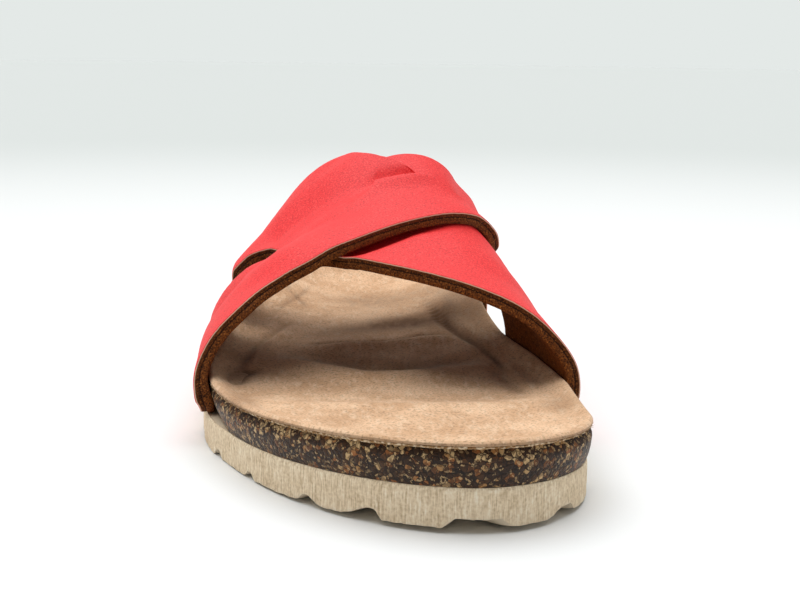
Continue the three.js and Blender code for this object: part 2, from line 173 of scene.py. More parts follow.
class Noise:
    """Repeatable smooth noise over points in space, from -1 to 1."""

    CELLS = 256

    def __init__(self, seed: int) -> None:
        """Fills the tables from a seed."""
        source = np.random.default_rng(seed)
        self.order = source.permutation(self.CELLS)
        self.level = source.uniform(-1.0, 1.0, self.CELLS)

    def __call__(self, points: np.ndarray, size: float | Sequence[float]) -> np.ndarray:
        """Noise at points.

        Args:
            points: array that ends in x, y, z.
            size: width of a lump, or one for each axis.

        Returns:
            One number for each point.
        """
        scaled = points / np.asarray(size, float)
        cell = np.floor(scaled).astype(int)
        part = scaled - cell
        part = part * part * (3.0 - 2.0 * part)
        total = np.zeros(points.shape[:-1])
        for corner in range(8):
            offset = np.array([corner & 1, corner >> 1 & 1, corner >> 2 & 1])
            key = (cell + offset) % self.CELLS
            first = self.order[key[..., 0]]
            second = self.order[(first + key[..., 1]) % self.CELLS]
            spot = self.order[(second + key[..., 2]) % self.CELLS]
            weight = np.prod(np.where(offset == 1, part, 1.0 - part), axis=-1)
            total += weight * self.level[spot]
        return total


@dataclass(frozen=True)
class Colour:
    """Colour as seen on a screen, 0 to 255."""

    red: float
    green: float
    blue: float

    @property
    def linear(self) -> tuple[float, float, float, float]:
        """The same colour in linear light, with full alpha."""
        levels = (self.red, self.green, self.blue)
        return (*(self.light(level / SCREEN_FULL) for level in levels), 1.0)

    @staticmethod
    def light(level: float) -> float:
        """Linear light of one channel of the screen, both 0 to 1."""
        if level <= SRGB_TOE:
            return level / SRGB_SLOPE
        return ((level + SRGB_OFFSET) / (1.0 + SRGB_OFFSET)) ** SRGB_POWER


class Value:
    """A shader number that adds Math nodes where it takes part in an expression."""

    def __init__(self, shader: "Shader", socket: bpy.types.NodeSocket) -> None:
        """Wraps a node's output."""
        self.shader = shader
        self.socket = socket

    def maths(self, operation: str, *operands: Any) -> "Value":
        """Result of one Math node.

        Args:
            operation: the node's operation.
            operands: values or numbers in its sockets.

        Returns:
            The wrapped result.
        """
        node = self.shader.node("ShaderNodeMath", {"operation": operation}, dict(enumerate(operands)))
        return Value(self.shader, node.outputs[0])

    def __add__(self, other: Any) -> "Value":
        """Sum."""
        return self.maths("ADD", self, other)

    def __radd__(self, other: Any) -> "Value":
        """Sum with a number in front."""
        return self.maths("ADD", other, self)

    def __sub__(self, other: Any) -> "Value":
        """Difference."""
        return self.maths("SUBTRACT", self, other)

    def __rsub__(self, other: Any) -> "Value":
        """Difference from a number."""
        return self.maths("SUBTRACT", other, self)

    def __mul__(self, other: Any) -> "Value":
        """Product."""
        return self.maths("MULTIPLY", self, other)

    def __rmul__(self, other: Any) -> "Value":
        """Product with a number in front."""
        return self.maths("MULTIPLY", other, self)

    def __truediv__(self, other: Any) -> "Value":
        """Quotient."""
        return self.maths("DIVIDE", self, other)

    def __rtruediv__(self, other: Any) -> "Value":
        """Quotient of a number."""
        return self.maths("DIVIDE", other, self)

    def __pow__(self, other: Any) -> "Value":
        """Power."""
        return self.maths("POWER", self, other)

    def step(self, low: float, high: float) -> "Value":
        """Smooth step of the number.

        Args:
            low: where the step is 0.
            high: where it is 1.

        Returns:
            The wrapped result.
        """
        sockets = {"Value": self, "From Min": low, "From Max": high, "To Min": 0.0, "To Max": 1.0}
        node = self.shader.node("ShaderNodeMapRange", {"interpolation_type": "SMOOTHSTEP"}, sockets)
        return Value(self.shader, node.outputs[0])


class Shader:
    """Node tree of one finish."""

    MIX_SHARE = 0
    MIX_FIRST = 6
    MIX_SECOND = 7
    MIX_RESULT = 2

    def __init__(self, tree: bpy.types.NodeTree) -> None:
        """Starts from an empty tree."""
        tree.nodes.clear()
        self.tree = tree

    def node(self, kind: str, settings: Mapping[str, Any] | None = None,
             sockets: Mapping[int | str, Any] | None = None) -> bpy.types.Node:
        """Adds a node.

        Args:
            kind: the node's type.
            settings: its properties, set first; a ramp's stops are under "stops".
            sockets: values or links of its inputs, by name or place.

        Returns:
            The node.
        """
        made = self.tree.nodes.new(kind)
        for name, setting in (settings or {}).items():
            if name == "stops":
                self._set_stops(made.color_ramp, setting)
            else:
                setattr(made, name, setting)
        for name, given in (sockets or {}).items():
            source = given.socket if isinstance(given, Value) else given
            if isinstance(source, bpy.types.NodeSocket):
                self.tree.links.new(source, made.inputs[name])
            else:
                made.inputs[name].default_value = source.linear if isinstance(source, Colour) else source
        return made

    @staticmethod
    def _set_stops(ramp: bpy.types.ColorRamp, stops: Sequence[tuple[float, Colour]]) -> None:
        """Puts stops in place of a ramp's own.

        Args:
            ramp: the ramp.
            stops: places from 0 to 1 and the colours there.
        """
        while len(ramp.elements) > 1:
            ramp.elements.remove(ramp.elements[-1])
        for i, (place, colour) in enumerate(stops):
            stop = ramp.elements[0] if i == 0 else ramp.elements.new(place)
            stop.position = place
            stop.color = colour.linear

    def place(self, stretch: Place = (1.0, 1.0, 1.0)) -> bpy.types.NodeSocket:
        """Place on the shoe in millimetres.

        Args:
            stretch: number that each axis is divided by.

        Returns:
            The place, as a vector.
        """
        coords = self.node("ShaderNodeTexCoord").outputs["Object"]
        scale = tuple(1.0 / (MM * s) for s in stretch)
        return self.node("ShaderNodeVectorMath", {"operation": "MULTIPLY"}, {0: coords, 1: scale}).outputs[0]

    def mark(self, name: str) -> Value:
        """Number that the mesh carries at each point."""
        node = self.node("ShaderNodeAttribute", {"attribute_name": name, "attribute_type": "GEOMETRY"})
        return Value(self, node.outputs["Fac"])

    def noise(self, where: bpy.types.NodeSocket, size: float, detail: float = 3.0) -> Value:
        """Soft noise, 0 to 1, with lumps of a size in millimetres."""
        sockets = {"Vector": where, "Scale": 1.0 / size, "Detail": detail}
        return Value(self, self.node("ShaderNodeTexNoise", None, sockets).outputs[0])

    def cells(self, where: bpy.types.NodeSocket, size: float, feature: str = "F1") -> bpy.types.Node:
        """Cell pattern with cells of a size in millimetres."""
        sockets = {"Vector": where, "Scale": 1.0 / size}
        return self.node("ShaderNodeTexVoronoi", {"feature": feature}, sockets)

    def mix(self, share: Any, first: Any, second: Any) -> bpy.types.NodeSocket:
        """Mix of two colours.

        Args:
            share: how much of the second there is.
            first: colour at a share of 0.
            second: colour at a share of 1.

        Returns:
            The mixed colour.
        """
        sockets = {self.MIX_SHARE: share, self.MIX_FIRST: first, self.MIX_SECOND: second}
        return self.node("ShaderNodeMix", {"data_type": "RGBA"}, sockets).outputs[self.MIX_RESULT]

    def ramp(self, share: Value, stops: Sequence[tuple[float, Colour]]) -> bpy.types.NodeSocket:
        """Colour by a number along stops."""
        return self.node("ShaderNodeValToRGB", {"stops": stops}, {0: share}).outputs[0]

    def red_of(self, colour: bpy.types.NodeSocket) -> Value:
        """Red channel of a colour, as a number."""
        return Value(self, self.node("ShaderNodeSeparateColor", None, {0: colour}).outputs[0])

    def bump(self, height: Value, depth: float, strength: float = 1.0) -> bpy.types.NodeSocket:
        """Normal that is tilted by a height of 0 to 1, of a depth in millimetres."""
        sockets = {"Height": height, "Distance": depth * MM, "Strength": strength}
        return self.node("ShaderNodeBump", None, sockets).outputs[0]

    def surface(self, colour: Any, rough: Any, specular: float, normal: Any = None,
                sheen: float = 0.0) -> None:
        """Ends the tree in one shaded surface.

        Args:
            colour: its colour.
            rough: its roughness.
            specular: strength of its gloss.
            normal: its tilted normal, if any.
            sheen: weight of its sheen.
        """
        sockets = {"Base Color": colour, "Roughness": rough, "Specular IOR Level": specular,
                   "Sheen Weight": sheen}
        if normal is not None:
            sockets["Normal"] = normal
        lit = self.node("ShaderNodeBsdfPrincipled", None, sockets)
        self.node("ShaderNodeOutputMaterial", None, {"Surface": lit.outputs[0]})


class Finish(ABC):
    """A finish that makes its own material."""

    name: str

    def material(self) -> bpy.types.Material:
        """Makes the material.

        Returns:
            A new material with this finish's nodes.
        """
        made = bpy.data.materials.new(self.name)
        made.use_nodes = True
        self.paint(Shader(made.node_tree))
        return made

    @abstractmethod
    def paint(self, shader: Shader) -> None:
        """Adds the finish's nodes.

        Args:
            shader: the tree to fill.
        """


@dataclass(frozen=True)
class StrapLeather(Finish):
    """Matt coral leather with a fine pebbled grain."""

    name: str = "strap_leather"
    main: Colour = Colour(242, 42, 45)
    deep: Colour = Colour(204, 20, 26)
    pale: Colour = Colour(255, 84, 80)
    grain_size: float = 0.5
    speck_size: float = 0.45
    cloud_size: float = 16.0
    cloud_detail: float = 2.0
    grain_middle: float = 0.45
    speck_gain: float = 5.8
    grain_gain: float = 1.2
    cloud_gain: float = 0.5
    deep_span: Span = (-1.5, 0.1)
    pale_span: Span = (0.1, 1.3)
    grain_height: float = 0.7
    speck_height: float = 0.5
    bump_depth: float = 0.07
    bump_strength: float = 0.8
    rough: float = 0.50
    rough_gain: float = 0.14
    specular: float = 0.32

    def paint(self, shader: Shader) -> None:
        """Adds the finish's nodes.

        Args:
            shader: the tree to fill.
        """
        where = shader.place()
        grain = Value(shader, shader.cells(where, self.grain_size, "SMOOTH_F1").outputs["Distance"])
        speck = shader.noise(where, self.speck_size)
        cloud = shader.noise(where, self.cloud_size, self.cloud_detail)
        light = (speck - NOISE_MIDDLE) * self.speck_gain + (self.grain_middle - grain) * self.grain_gain
        light = light + (cloud - NOISE_MIDDLE) * self.cloud_gain
        dark = shader.mix(light.step(*self.deep_span), self.deep, self.main)
        colour = shader.mix(light.step(*self.pale_span), dark, self.pale)
        height = (1.0 - grain) * self.grain_height + speck * self.speck_height
        normal = shader.bump(height, self.bump_depth, self.bump_strength)
        shader.surface(colour, self.rough + speck * self.rough_gain, self.specular, normal)


@dataclass(frozen=True)
class FeltBacking(Finish):
    """Brown felted backing of the straps."""

    name: str = "felt_backing"
    dark: Colour = Colour(70, 32, 9)
    main: Colour = Colour(122, 64, 22)
    fibre: Colour = Colour(188, 120, 56)
    fibre_size: float = 0.45
    clump_size: float = 1.6
    fibre_gain: float = 0.7
    clump_gain: float = 0.5
    dark_span: Span = (0.35, 0.7)
    fibre_span: Span = (0.58, 0.78)
    bump_depth: float = 0.2
    bump_strength: float = 0.9
    rough: float = 0.95
    specular: float = 0.12

    def paint(self, shader: Shader) -> None:
        """Adds the finish's nodes.

        Args:
            shader: the tree to fill.
        """
        where = shader.place()
        fine = shader.noise(where, self.fibre_size)
        clump = shader.noise(where, self.clump_size)
        tone = fine * self.fibre_gain + clump * self.clump_gain
        body = shader.mix(tone.step(*self.dark_span), self.dark, self.main)
        colour = shader.mix(fine.step(*self.fibre_span), body, self.fibre)
        normal = shader.bump(tone, self.bump_depth, self.bump_strength)
        shader.surface(colour, self.rough, self.specular, normal)


@dataclass(frozen=True)
class StrapCutEdge(Finish):
    """Cut edge of a strap: pale line under the finish, brown core, glue line and felt."""

    name: str = "strap_cut_edge"
    face: Colour = Colour(226, 70, 68)
    line: Colour = Colour(226, 184, 158)
    core: Colour = Colour(104, 56, 24)
    seam: Colour = Colour(42, 18, 6)
    felt: Colour = Colour(124, 68, 27)
    fibre: Colour = Colour(184, 118, 56)
    face_span: Span = (0.0, 0.03)
    line_span: Span = (0.045, 0.085)
    core_span: Span = (0.11, 0.34)
    seam_span: Span = (0.38, 0.42)
    felt_span: Span = (0.47, 1.0)
    fibre_size: float = 0.4
    wave_size: float = 1.4
    wave_gain: float = 0.06
    grain_span: Span = (0.3, 0.62)
    grain_layers: Span = (0.12, 0.2)
    hair_span: Span = (0.58, 0.76)
    hair_layers: Span = (0.14, 0.3)
    bump_depth: float = 0.2
    bump_strength: float = 0.9
    rough: float = 0.9
    specular: float = 0.2

    def paint(self, shader: Shader) -> None:
        """Adds the finish's nodes.

        Args:
            shader: the tree to fill.
        """
        where = shader.place()
        fine = shader.noise(where, self.fibre_size)
        wave = shader.noise(where, self.wave_size)
        layer = shader.mark("layer") + (wave - NOISE_MIDDLE) * self.wave_gain
        layers = (
            (self.face_span, self.face), (self.line_span, self.line), (self.core_span, self.core),
            (self.seam_span, self.seam), (self.felt_span, self.felt),
        )
        bands = shader.ramp(layer, [(place, colour) for span, colour in layers for place in span])
        grain = shader.mix(fine.step(*self.grain_span), self.seam, bands)
        torn = shader.mix(layer.step(*self.grain_layers), bands, grain)
        hairs = fine.step(*self.hair_span) * layer.step(*self.hair_layers)
        normal = shader.bump(fine, self.bump_depth, self.bump_strength)
        shader.surface(shader.mix(hairs, torn, self.fibre), self.rough, self.specular, normal)


@dataclass(frozen=True)
class FootbedSuede(Finish):
    """Tan suede with a short nap, darkened in its hollows and under the straps by painted shade and dirt."""

    name: str = "footbed_suede"
    main: Colour = Colour(230, 191, 154)
    pale: Colour = Colour(242, 213, 181)
    warm: Colour = Colour(204, 162, 124)
    # Dark brown of the painted shade and dirt in the hollows, also used for the nap's dark specks.
    soil: Colour = Colour(98, 63, 27)
    nap_size: float = 0.6
    cloud_size: float = 13.0
    streak_stretch: Place = (1.6, 5.0, 1.6)
    streak_size: float = 1.0
    cloud_span: Span = (0.3, 0.7)
    streak_span: Span = (0.45, 0.75)
    streak_share: float = 0.5
    speck_span: Span = (0.47, 0.68)
    speck_share: float = 0.42
    soil_and_shade_least: float = 0.6
    soil_and_shade_gain: float = 0.5
    nap_height: float = 1.1
    weave_height: float = 0.2
    streak_height: float = 0.3
    weave_pitch: float = 0.7
    weave_scale: float = 0.314
    weave_bend: float = 0.6
    weave_detail: float = 1.0
    bump_depth: float = 0.12
    bump_strength: float = 0.8
    rough: float = 0.92
    specular: float = 0.18
    sheen: float = 0.12

    def paint(self, shader: Shader) -> None:
        """Adds the finish's nodes.

        Args:
            shader: the tree to fill.
        """
        where = shader.place()
        nap = shader.noise(where, self.nap_size)
        streak = shader.noise(shader.place(self.streak_stretch), self.streak_size)
        cloud = shader.noise(where, self.cloud_size)
        body = shader.mix(cloud.step(*self.cloud_span), self.warm, self.main)
        brushed = shader.mix(streak.step(*self.streak_span) * self.streak_share, body, self.pale)
        specks = shader.mix(nap.step(*self.speck_span) * self.speck_share, brushed, self.soil)
        # Painted shade and dirt: the lining's darkening mark, broken up by the streaks, pulls the suede
        # towards the dark brown.
        soil_and_shade_share = shader.mark("soil") * (self.soil_and_shade_least + self.soil_and_shade_gain * streak)
        height = nap * self.nap_height + self.weave(shader) * self.weave_height + streak * self.streak_height
        colour = shader.mix(soil_and_shade_share.step(0.0, 1.0), specks, self.soil)
        normal = shader.bump(height, self.bump_depth, self.bump_strength)
        shader.surface(colour, self.rough, self.specular, normal, self.sheen)

    def weave(self, shader: Shader) -> Value:
        """Faint slanting cloth pattern that shows through the nap.

        Args:
            shader: the tree to fill.

        Returns:
            The pattern, 0 to 1.
        """
        sockets = {"Vector": shader.place(), "Scale": self.weave_scale / self.weave_pitch,
                   "Distortion": self.weave_bend, "Detail": self.weave_detail}
        node = shader.node("ShaderNodeTexWave", {"bands_direction": "DIAGONAL"}, sockets)
        return shader.red_of(node.outputs["Color"])


@dataclass(frozen=True)
class GroundCork(Finish):
    """Pressed cork granules in a dark binder, sealed on the side."""

    name: str = "ground_cork"
    binder: Colour = Colour(30, 18, 10)
    dark: Colour = Colour(56, 33, 16)
    mid: Colour = Colour(80, 51, 27)
    tan: Colour = Colour(166, 124, 76)
    rust: Colour = Colour(152, 92, 46)
    chip: Colour = Colour(206, 172, 124)
    granule_size: float = 1.3
    granule_places: Series = (0.0, 0.45, 0.68, 0.82, 0.92, 1.0)
    crumb_size: float = 0.6
    crumb_places: Series = (0.0, 0.55, 0.8, 0.93)
    crumb_span: Span = (0.35, 0.4)
    crumb_share: float = 0.62
    bend_size: float = 1.25
    bend_detail: float = 2.0
    rim_gain: float = 0.28
    gap_span: Span = (0.0, 0.10)
    gap_slope: Span = (0.0, 0.25)
    gap_height: float = 0.7
    fine_size: float = 0.5
    fine_height: float = 0.5
    bump_depth: float = 0.25
    bump_strength: float = 0.7
    rough: float = 0.38
    rough_rim: float = 0.4
    rough_fine: float = 0.2
    specular: float = 0.3

    def paint(self, shader: Shader) -> None:
        """Adds the finish's nodes.

        Args:
            shader: the tree to fill.
        """
        where = shader.place()
        sockets = {"Vector": where, "Scale": 1.0 / self.bend_size, "Detail": self.bend_detail}
        bent = shader.node("ShaderNodeTexNoise", None, sockets).outputs["Color"]
        shifted = shader.node("ShaderNodeVectorMath", {"operation": "ADD"}, {0: where, 1: bent}).outputs[0]
        granule = shader.cells(shifted, self.granule_size)
        crumb = shader.cells(shifted, self.crumb_size)
        gap = Value(shader, shader.cells(shifted, self.granule_size, "DISTANCE_TO_EDGE").outputs["Distance"])
        rim = shader.mark("rim")
        tone = shader.red_of(granule.outputs["Color"]) + rim * self.rim_gain
        tones = (self.binder, self.dark, self.mid, self.rust, self.tan, self.chip)
        big = shader.ramp(tone, list(zip(self.granule_places, tones)))
        pick = shader.red_of(crumb.outputs["Color"])
        crumbs = (self.binder, self.dark, self.mid, self.chip)
        small = shader.ramp(pick, list(zip(self.crumb_places, crumbs)))
        mottled = shader.mix(pick.step(*self.crumb_span) * self.crumb_share, big, small)
        colour = shader.mix(gap.step(*self.gap_span), self.binder, mottled)
        fine = shader.noise(where, self.fine_size)
        height = gap.step(*self.gap_slope) * self.gap_height + fine * self.fine_height
        normal = shader.bump(height, self.bump_depth, self.bump_strength)
        rough = self.rough + rim * self.rough_rim + fine * self.rough_fine
        shader.surface(colour, rough, self.specular, normal)


@dataclass(frozen=True)
class JuteThread(Finish):
    """Off-white jute cloth that frays at its edge."""

    name: str = "jute_thread"
    pale: Colour = Colour(226, 204, 172)
    shade: Colour = Colour(150, 112, 72)
    thread_size: float = 0.9
    pale_span: Span = (0.42, 0.66)
    bump_depth: float = 0.15
    bump_strength: float = 0.8
    rough: float = 0.9
    specular: float = 0.2

    def paint(self, shader: Shader) -> None:
        """Adds the finish's nodes.

        Args:
            shader: the tree to fill.
        """
        twist = shader.noise(shader.place(), self.thread_size)
        colour = shader.mix(twist.step(*self.pale_span), self.shade, self.pale)
        normal = shader.bump(twist, self.bump_depth, self.bump_strength)
        shader.surface(colour, self.rough, self.specular, normal)


@dataclass(frozen=True)
class OutsoleFoam(Finish):
    """Beige foam with the upright scratches of its ground side."""

    name: str = "outsole_foam"
    main: Colour = Colour(236, 214, 182)
    pale: Colour = Colour(250, 236, 212)
    dark: Colour = Colour(196, 170, 136)
    smooth: Colour = Colour(228, 211, 186)
    scratch_stretch: Place = (0.38, 0.38, 3.6)
    scratch_size: float = 1.0
    scratch_detail: float = 4.0
    pore_size: float = 0.7
    cloud_size: float = 9.0
    cloud_detail: float = 2.0
    scratch_gain: float = 0.75
    pore_gain: float = 0.45
    cloud_gain: float = 0.15
    dark_span: Span = (0.45, 0.75)
    pale_span: Span = (0.68, 0.9)
    bump_depth: float = 0.16
    bump_strength: float = 0.9
    rough: float = 0.85
    specular: float = 0.25

    def paint(self, shader: Shader) -> None:
        """Adds the finish's nodes.

        Args:
            shader: the tree to fill.
        """
        where = shader.place()
        scratch = shader.noise(shader.place(self.scratch_stretch), self.scratch_size, self.scratch_detail)
        pore = shader.noise(where, self.pore_size)
        cloud = shader.noise(where, self.cloud_size, self.cloud_detail)
        ground = shader.mark("ground")
        tone = scratch * self.scratch_gain + pore * self.pore_gain + cloud * self.cloud_gain
        body = shader.mix(tone.step(*self.dark_span), self.dark, self.main)
        scratched = shader.mix(tone.step(*self.pale_span), body, self.pale)
        colour = shader.mix(ground, self.smooth, scratched)
        normal = shader.bump(tone * ground, self.bump_depth, self.bump_strength)
        shader.surface(colour, self.rough, self.specular, normal)


@dataclass(frozen=True)
class FloorWithPaintedFalloff(Finish):
    """White floor with a painted falloff of light: it is painted a little greyer with distance from the
    shoe.
    """

    name: str = "floor_painted_falloff"
    near: Colour = Colour(238, 239, 239)
    far: Colour = Colour(203, 207, 205)
    near_radius: float = 150.0
    far_radius: float = 1100.0
    rough: float = 0.8
    specular: float = 0.1

    def paint(self, shader: Shader) -> None:
        """Adds the finish's nodes.

        Args:
            shader: the tree to fill.
        """
        length = shader.node("ShaderNodeVectorMath", {"operation": "LENGTH"}, {0: shader.place()})
        reach = Value(shader, length.outputs["Value"])
        # Painted falloff of light: the floor's colour greys between the near and far radius.
        colour = shader.mix(reach.step(self.near_radius, self.far_radius), self.near, self.far)
        shader.surface(colour, self.rough, self.specular)


@dataclass
class MeshDraft:
    """Points, faces and marks of a mesh in the making, in the shoe's frame."""

    points: list[np.ndarray] = field(default_factory=list)
    faces: list[np.ndarray] = field(default_factory=list)
    finishes: list[np.ndarray] = field(default_factory=list)
    marks: dict[str, list[np.ndarray]] = field(default_factory=dict)
    count: int = 0

    def add_points(self, points: np.ndarray, **marks: Any) -> np.ndarray:
        """Adds points.

        Args:
            points: array that ends in x, y, z.
            marks: numbers that the mesh carries at each of the points.

        Returns:
            Their numbers, in the shape of the array.
        """
        flat = points.reshape(-1, 3)
        for name in dict.fromkeys([*self.marks, *marks]):
            column = self.marks.setdefault(name, [np.zeros(self.count)])
            given = np.broadcast_to(np.asarray(marks.get(name, 0.0), float), points.shape[:-1])
            column.append(given.reshape(-1).copy())
        numbers = np.arange(self.count, self.count + len(flat)).reshape(points.shape[:-1])
        self.points.append(flat)
        self.count += len(flat)
        return numbers

    def add_faces(self, faces: np.ndarray, finish: int = 0) -> None:
        """Adds faces of three or four corners.

        Args:
            faces: their point numbers.
            finish: number of their finish.
        """
        flat = faces.reshape(-1, faces.shape[-1])
        self.faces.append(flat)
        self.finishes.append(np.full(len(flat), finish))

    def add_grid(self, numbers: np.ndarray, closed: bool, finish: int = 0) -> None:
        """Adds the quads between rows of points.

        Args:
            numbers: point numbers, one row after another.
            closed: whether each row runs round to its start.
            finish: finish of the faces.
        """
        right = np.roll(numbers, -1, axis=1) if closed else numbers[:, 1:]
        left = numbers if closed else numbers[:, :-1]
        quads = np.stack([left[:-1], right[:-1], right[1:], left[1:]], axis=-1)
        self.add_faces(quads, finish)

    def make(self, name: str, shift: np.ndarray, finishes: Sequence[Finish],
             crease_deg: float) -> bpy.types.Object:
        """Makes the object.

        Args:
            name: its name.
            shift: from the shoe's frame to the model's, in millimetres.
            finishes: its finishes, in the order of the faces' numbers.
            crease_deg: angle over which an edge stays sharp.

        Returns:
            The object, linked to the scene.
        """
        mesh = bpy.data.meshes.new(name)
        corners = [face for block in self.faces for face in block.tolist()]
        mesh.from_pydata(((np.concatenate(self.points) + shift) * MM).tolist(), [], corners)
        for finish in finishes:
            mesh.materials.append(finish.material())
        mesh.polygons.foreach_set("material_index", np.concatenate(self.finishes).astype(np.int32))
        mesh.polygons.foreach_set("use_smooth", np.ones(len(corners), dtype=bool))
        for mark, columns in self.marks.items():
            layer = mesh.attributes.new(mark, "FLOAT", "POINT")
            layer.data.foreach_set("value", np.concatenate(columns).astype(np.float32))
        mesh.set_sharp_from_angle(angle=math.radians(crease_deg))
        mesh.update()
        made = bpy.data.objects.new(name, mesh)
        bpy.context.scene.collection.objects.link(made)
        return made


@dataclass(frozen=True)
class EndCap:
    """How an end of the outline rounds off."""

    length: float
    power: float

    def __call__(self, distance: np.ndarray) -> np.ndarray:
        """Share of the full width at a distance from the end."""
        left = np.clip(1.0 - distance / self.length, 0.0, 1.0)
        return (1.0 - left**self.power) ** (1.0 / self.power)


@dataclass(frozen=True)
class Outline:
    """Closed line round the shoe, from the toe along the big-toe side."""

    x: np.ndarray
    y: np.ndarray
    from_toe: np.ndarray
    medial: np.ndarray

    @property
    def run(self) -> np.ndarray:
        """Distance along the line from the toe to each point, and all the way round as the last number."""
        step = np.hypot(np.roll(self.x, -1) - self.x, np.roll(self.y, -1) - self.y)
        return np.concatenate([[0.0], np.cumsum(step)])


@dataclass(frozen=True)
class FootbedShape:
    """Outline and hollow of the footbed, which every piece shares."""

    length: float = 246.0
    toe_tip_x: float = 14.5
    heel_tip_x: float = -2.0
    medial_cap: EndCap = EndCap(34.0, 1.94)
    lateral_cap: EndCap = EndCap(88.9, 1.82)
    heel_cap: EndCap = EndCap(36.0, 2.1)
    spine_toe: float = 40.0
    spine_heel: float = 205.0
    outsole_top: float = 8.0
    toe_spring: float = 1.5
    toe_rise: float = 2.7
    toe_spring_from: float = 62.0
    toe_spring_full: float = -62.0 / 3
    heel_bevel: float = 1.4
    heel_bevel_length: float = 12.0
    columns: tuple[str, ...] = ("from_toe", "medial_x", "lateral_x", "medial_rim", "lateral_rim", "basin",
                                "medial_bank", "lateral_bank", "ledge")
    rows: Rows = (
        (0, 44.0, -48.0, 21.0, 21.0, 17.6, 5.0, 5.0, -1.0),
        (22, 44.3, -48.3, 19.3, 19.3, 15.4, 5.0, 5.0, -1.0),
        (40, 44.5, -48.5, 18.3, 18.3, 15.2, 5.0, 5.0, -1.0),
        (54, 44.8, -48.5, 17.8, 17.8, 15.3, 5.0, 5.0, -0.6),
        (66, 45.0, -48.5, 17.5, 17.5, 13.6, 4.6, 5.0, 0.6),
        (92, 41.4, -48.5, 18.6, 17.8, 14.6, 4.0, 4.6, 1.4),
        (120, 33.9, -46.5, 21.0, 19.0, 17.4, 3.0, 4.2, 1.6),
        (150, 30.4, -43.0, 27.0, 23.0, 18.6, 2.4, 4.0, 1.6),
        (180, 30.5, -39.5, 33.0, 30.0, 18.8, 2.6, 3.4, 1.4),
        (210, 32.5, -37.0, 37.5, 36.5, 19.0, 3.0, 3.2, 0.6),
        (246, 32.0, -35.5, 40.0, 40.0, 20.0, 3.0, 3.0, 0.4),
    )

    @cached_property
    def curve(self) -> dict[str, SmoothCurve]:
        """Curves of the table."""
        return table(self.columns, self.rows)

    @cached_property
    def shift(self) -> np.ndarray:
        """From the shoe's frame to the model's, found from the cork's own box."""
        low, high = (np.array(corner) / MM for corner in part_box("cork_footbed"))
        widest = max(row[1] for row in self.rows)
        return np.array([high[0] - widest, (low[1] + high[1]) / 2, 0.0])

    def side_x(self, from_toe: np.ndarray, medial: np.ndarray) -> np.ndarray:
        """Place of the rim across the shoe.

        Args:
            from_toe: distance from the toe.
            medial: whether the big-toe side is meant.

        Returns:
            The rim's x.
        """
        base = by_side(self.curve, "x", medial, from_toe)
        toe = np.where(medial, self.medial_cap(from_toe), self.lateral_cap(from_toe))
        heel = self.heel_cap(self.length - from_toe)
        return blend(self.heel_tip_x, blend(self.toe_tip_x, base, toe), heel)

    def y_of(self, from_toe: np.ndarray) -> np.ndarray:
        """Place along the shoe of a distance from the toe."""
        return from_toe - self.length / 2

    def outline(self, count: int, grow: float | SmoothCurve) -> Outline:
        """Outline of the footbed, grown outwards.

        Args:
            count: number of points, even.
            grow: how far it is moved out, or a curve of that over the distance from the toe.

        Returns:
            The line.
        """
        turn = 2 * np.pi * np.arange(count) / count
        from_toe = self.length / 2 * (1 - np.cos(turn))
        medial = np.arange(count) <= count // 2
        x, y = self.side_x(from_toe, medial), self.y_of(from_toe)
        dx, dy = np.roll(x, -1) - np.roll(x, 1), np.roll(y, -1) - np.roll(y, 1)
        run = np.hypot(dx, dy)
        amount = grow(from_toe) if isinstance(grow, SmoothCurve) else grow
        return Outline(x + amount * dy / run, y - amount * dx / run, from_toe, medial)

    def spine(self, from_toe: np.ndarray) -> tuple[np.ndarray, np.ndarray]:
        """Points of the middle line that outline points look at.

        Args:
            from_toe: distances of the outline's points from the toe.

        Returns:
            Their x and y.
        """
        along = blend(self.spine_toe, self.spine_heel, from_toe / self.length)
        both = [self.side_x(along, np.full(along.shape, medial)) for medial in (True, False)]
        return (both[0] + both[1]) / 2, self.y_of(along)

    def plan(self, line: Outline, rings: np.ndarray) -> tuple[np.ndarray, np.ndarray]:
        """Places of rings between the middle line and an outline.

        Args:
            line: the outline.
            rings: the rings, 0 on the middle line and 1 on the outline.

        Returns:
            Their x and y.
        """
        spine_x, spine_y = self.spine(line.from_toe)
        ring = rings if rings.ndim == 2 else rings[:, None]
        return blend(spine_x, line.x, ring), blend(spine_y, line.y, ring)

    def bed_height(self, line: Outline, rings: np.ndarray) -> np.ndarray:
        """Height of the lining's upper face.

        Args:
            line: the outline.
            rings: rings between the middle line and the outline.

        Returns:
            Heights, a row for each ring.
        """
        _, y = self.plan(line, rings)
        along = y + self.length / 2
        ring = rings if rings.ndim == 2 else rings[:, None]
        rim = by_side(self.curve, "rim", line.medial, line.from_toe)
        bank = by_side(self.curve, "bank", line.medial, along)
        basin = self.curve["basin"](along)
        return basin + (rim - basin) * ring**bank

    def rings_at(self, line: Outline, inward: np.ndarray) -> np.ndarray:
        """Rings that lie at distances inside the outline."""
        spine_x, spine_y = self.spine(line.from_toe)
        return 1.0 - inward[:, None] / np.hypot(line.x - spine_x, line.y - spine_y)

    def spring(self, from_toe: np.ndarray) -> np.ndarray:
        """Share of the toe's rise at distances from the toe."""
        return ease(self.toe_spring_from, self.toe_spring_full, from_toe)

    def top_of_outsole(self, from_toe: np.ndarray) -> np.ndarray:
        """Height of the outsole's upper face."""
        return self.outsole_top + self.toe_rise * self.spring(from_toe)

    def floor_of_outsole(self, from_toe: np.ndarray) -> np.ndarray:
        """Height of the outsole's lower face between the notches."""
        heel = self.heel_bevel * ease(self.length - self.heel_bevel_length, self.length, from_toe)
        return self.toe_spring * self.spring(from_toe) + heel


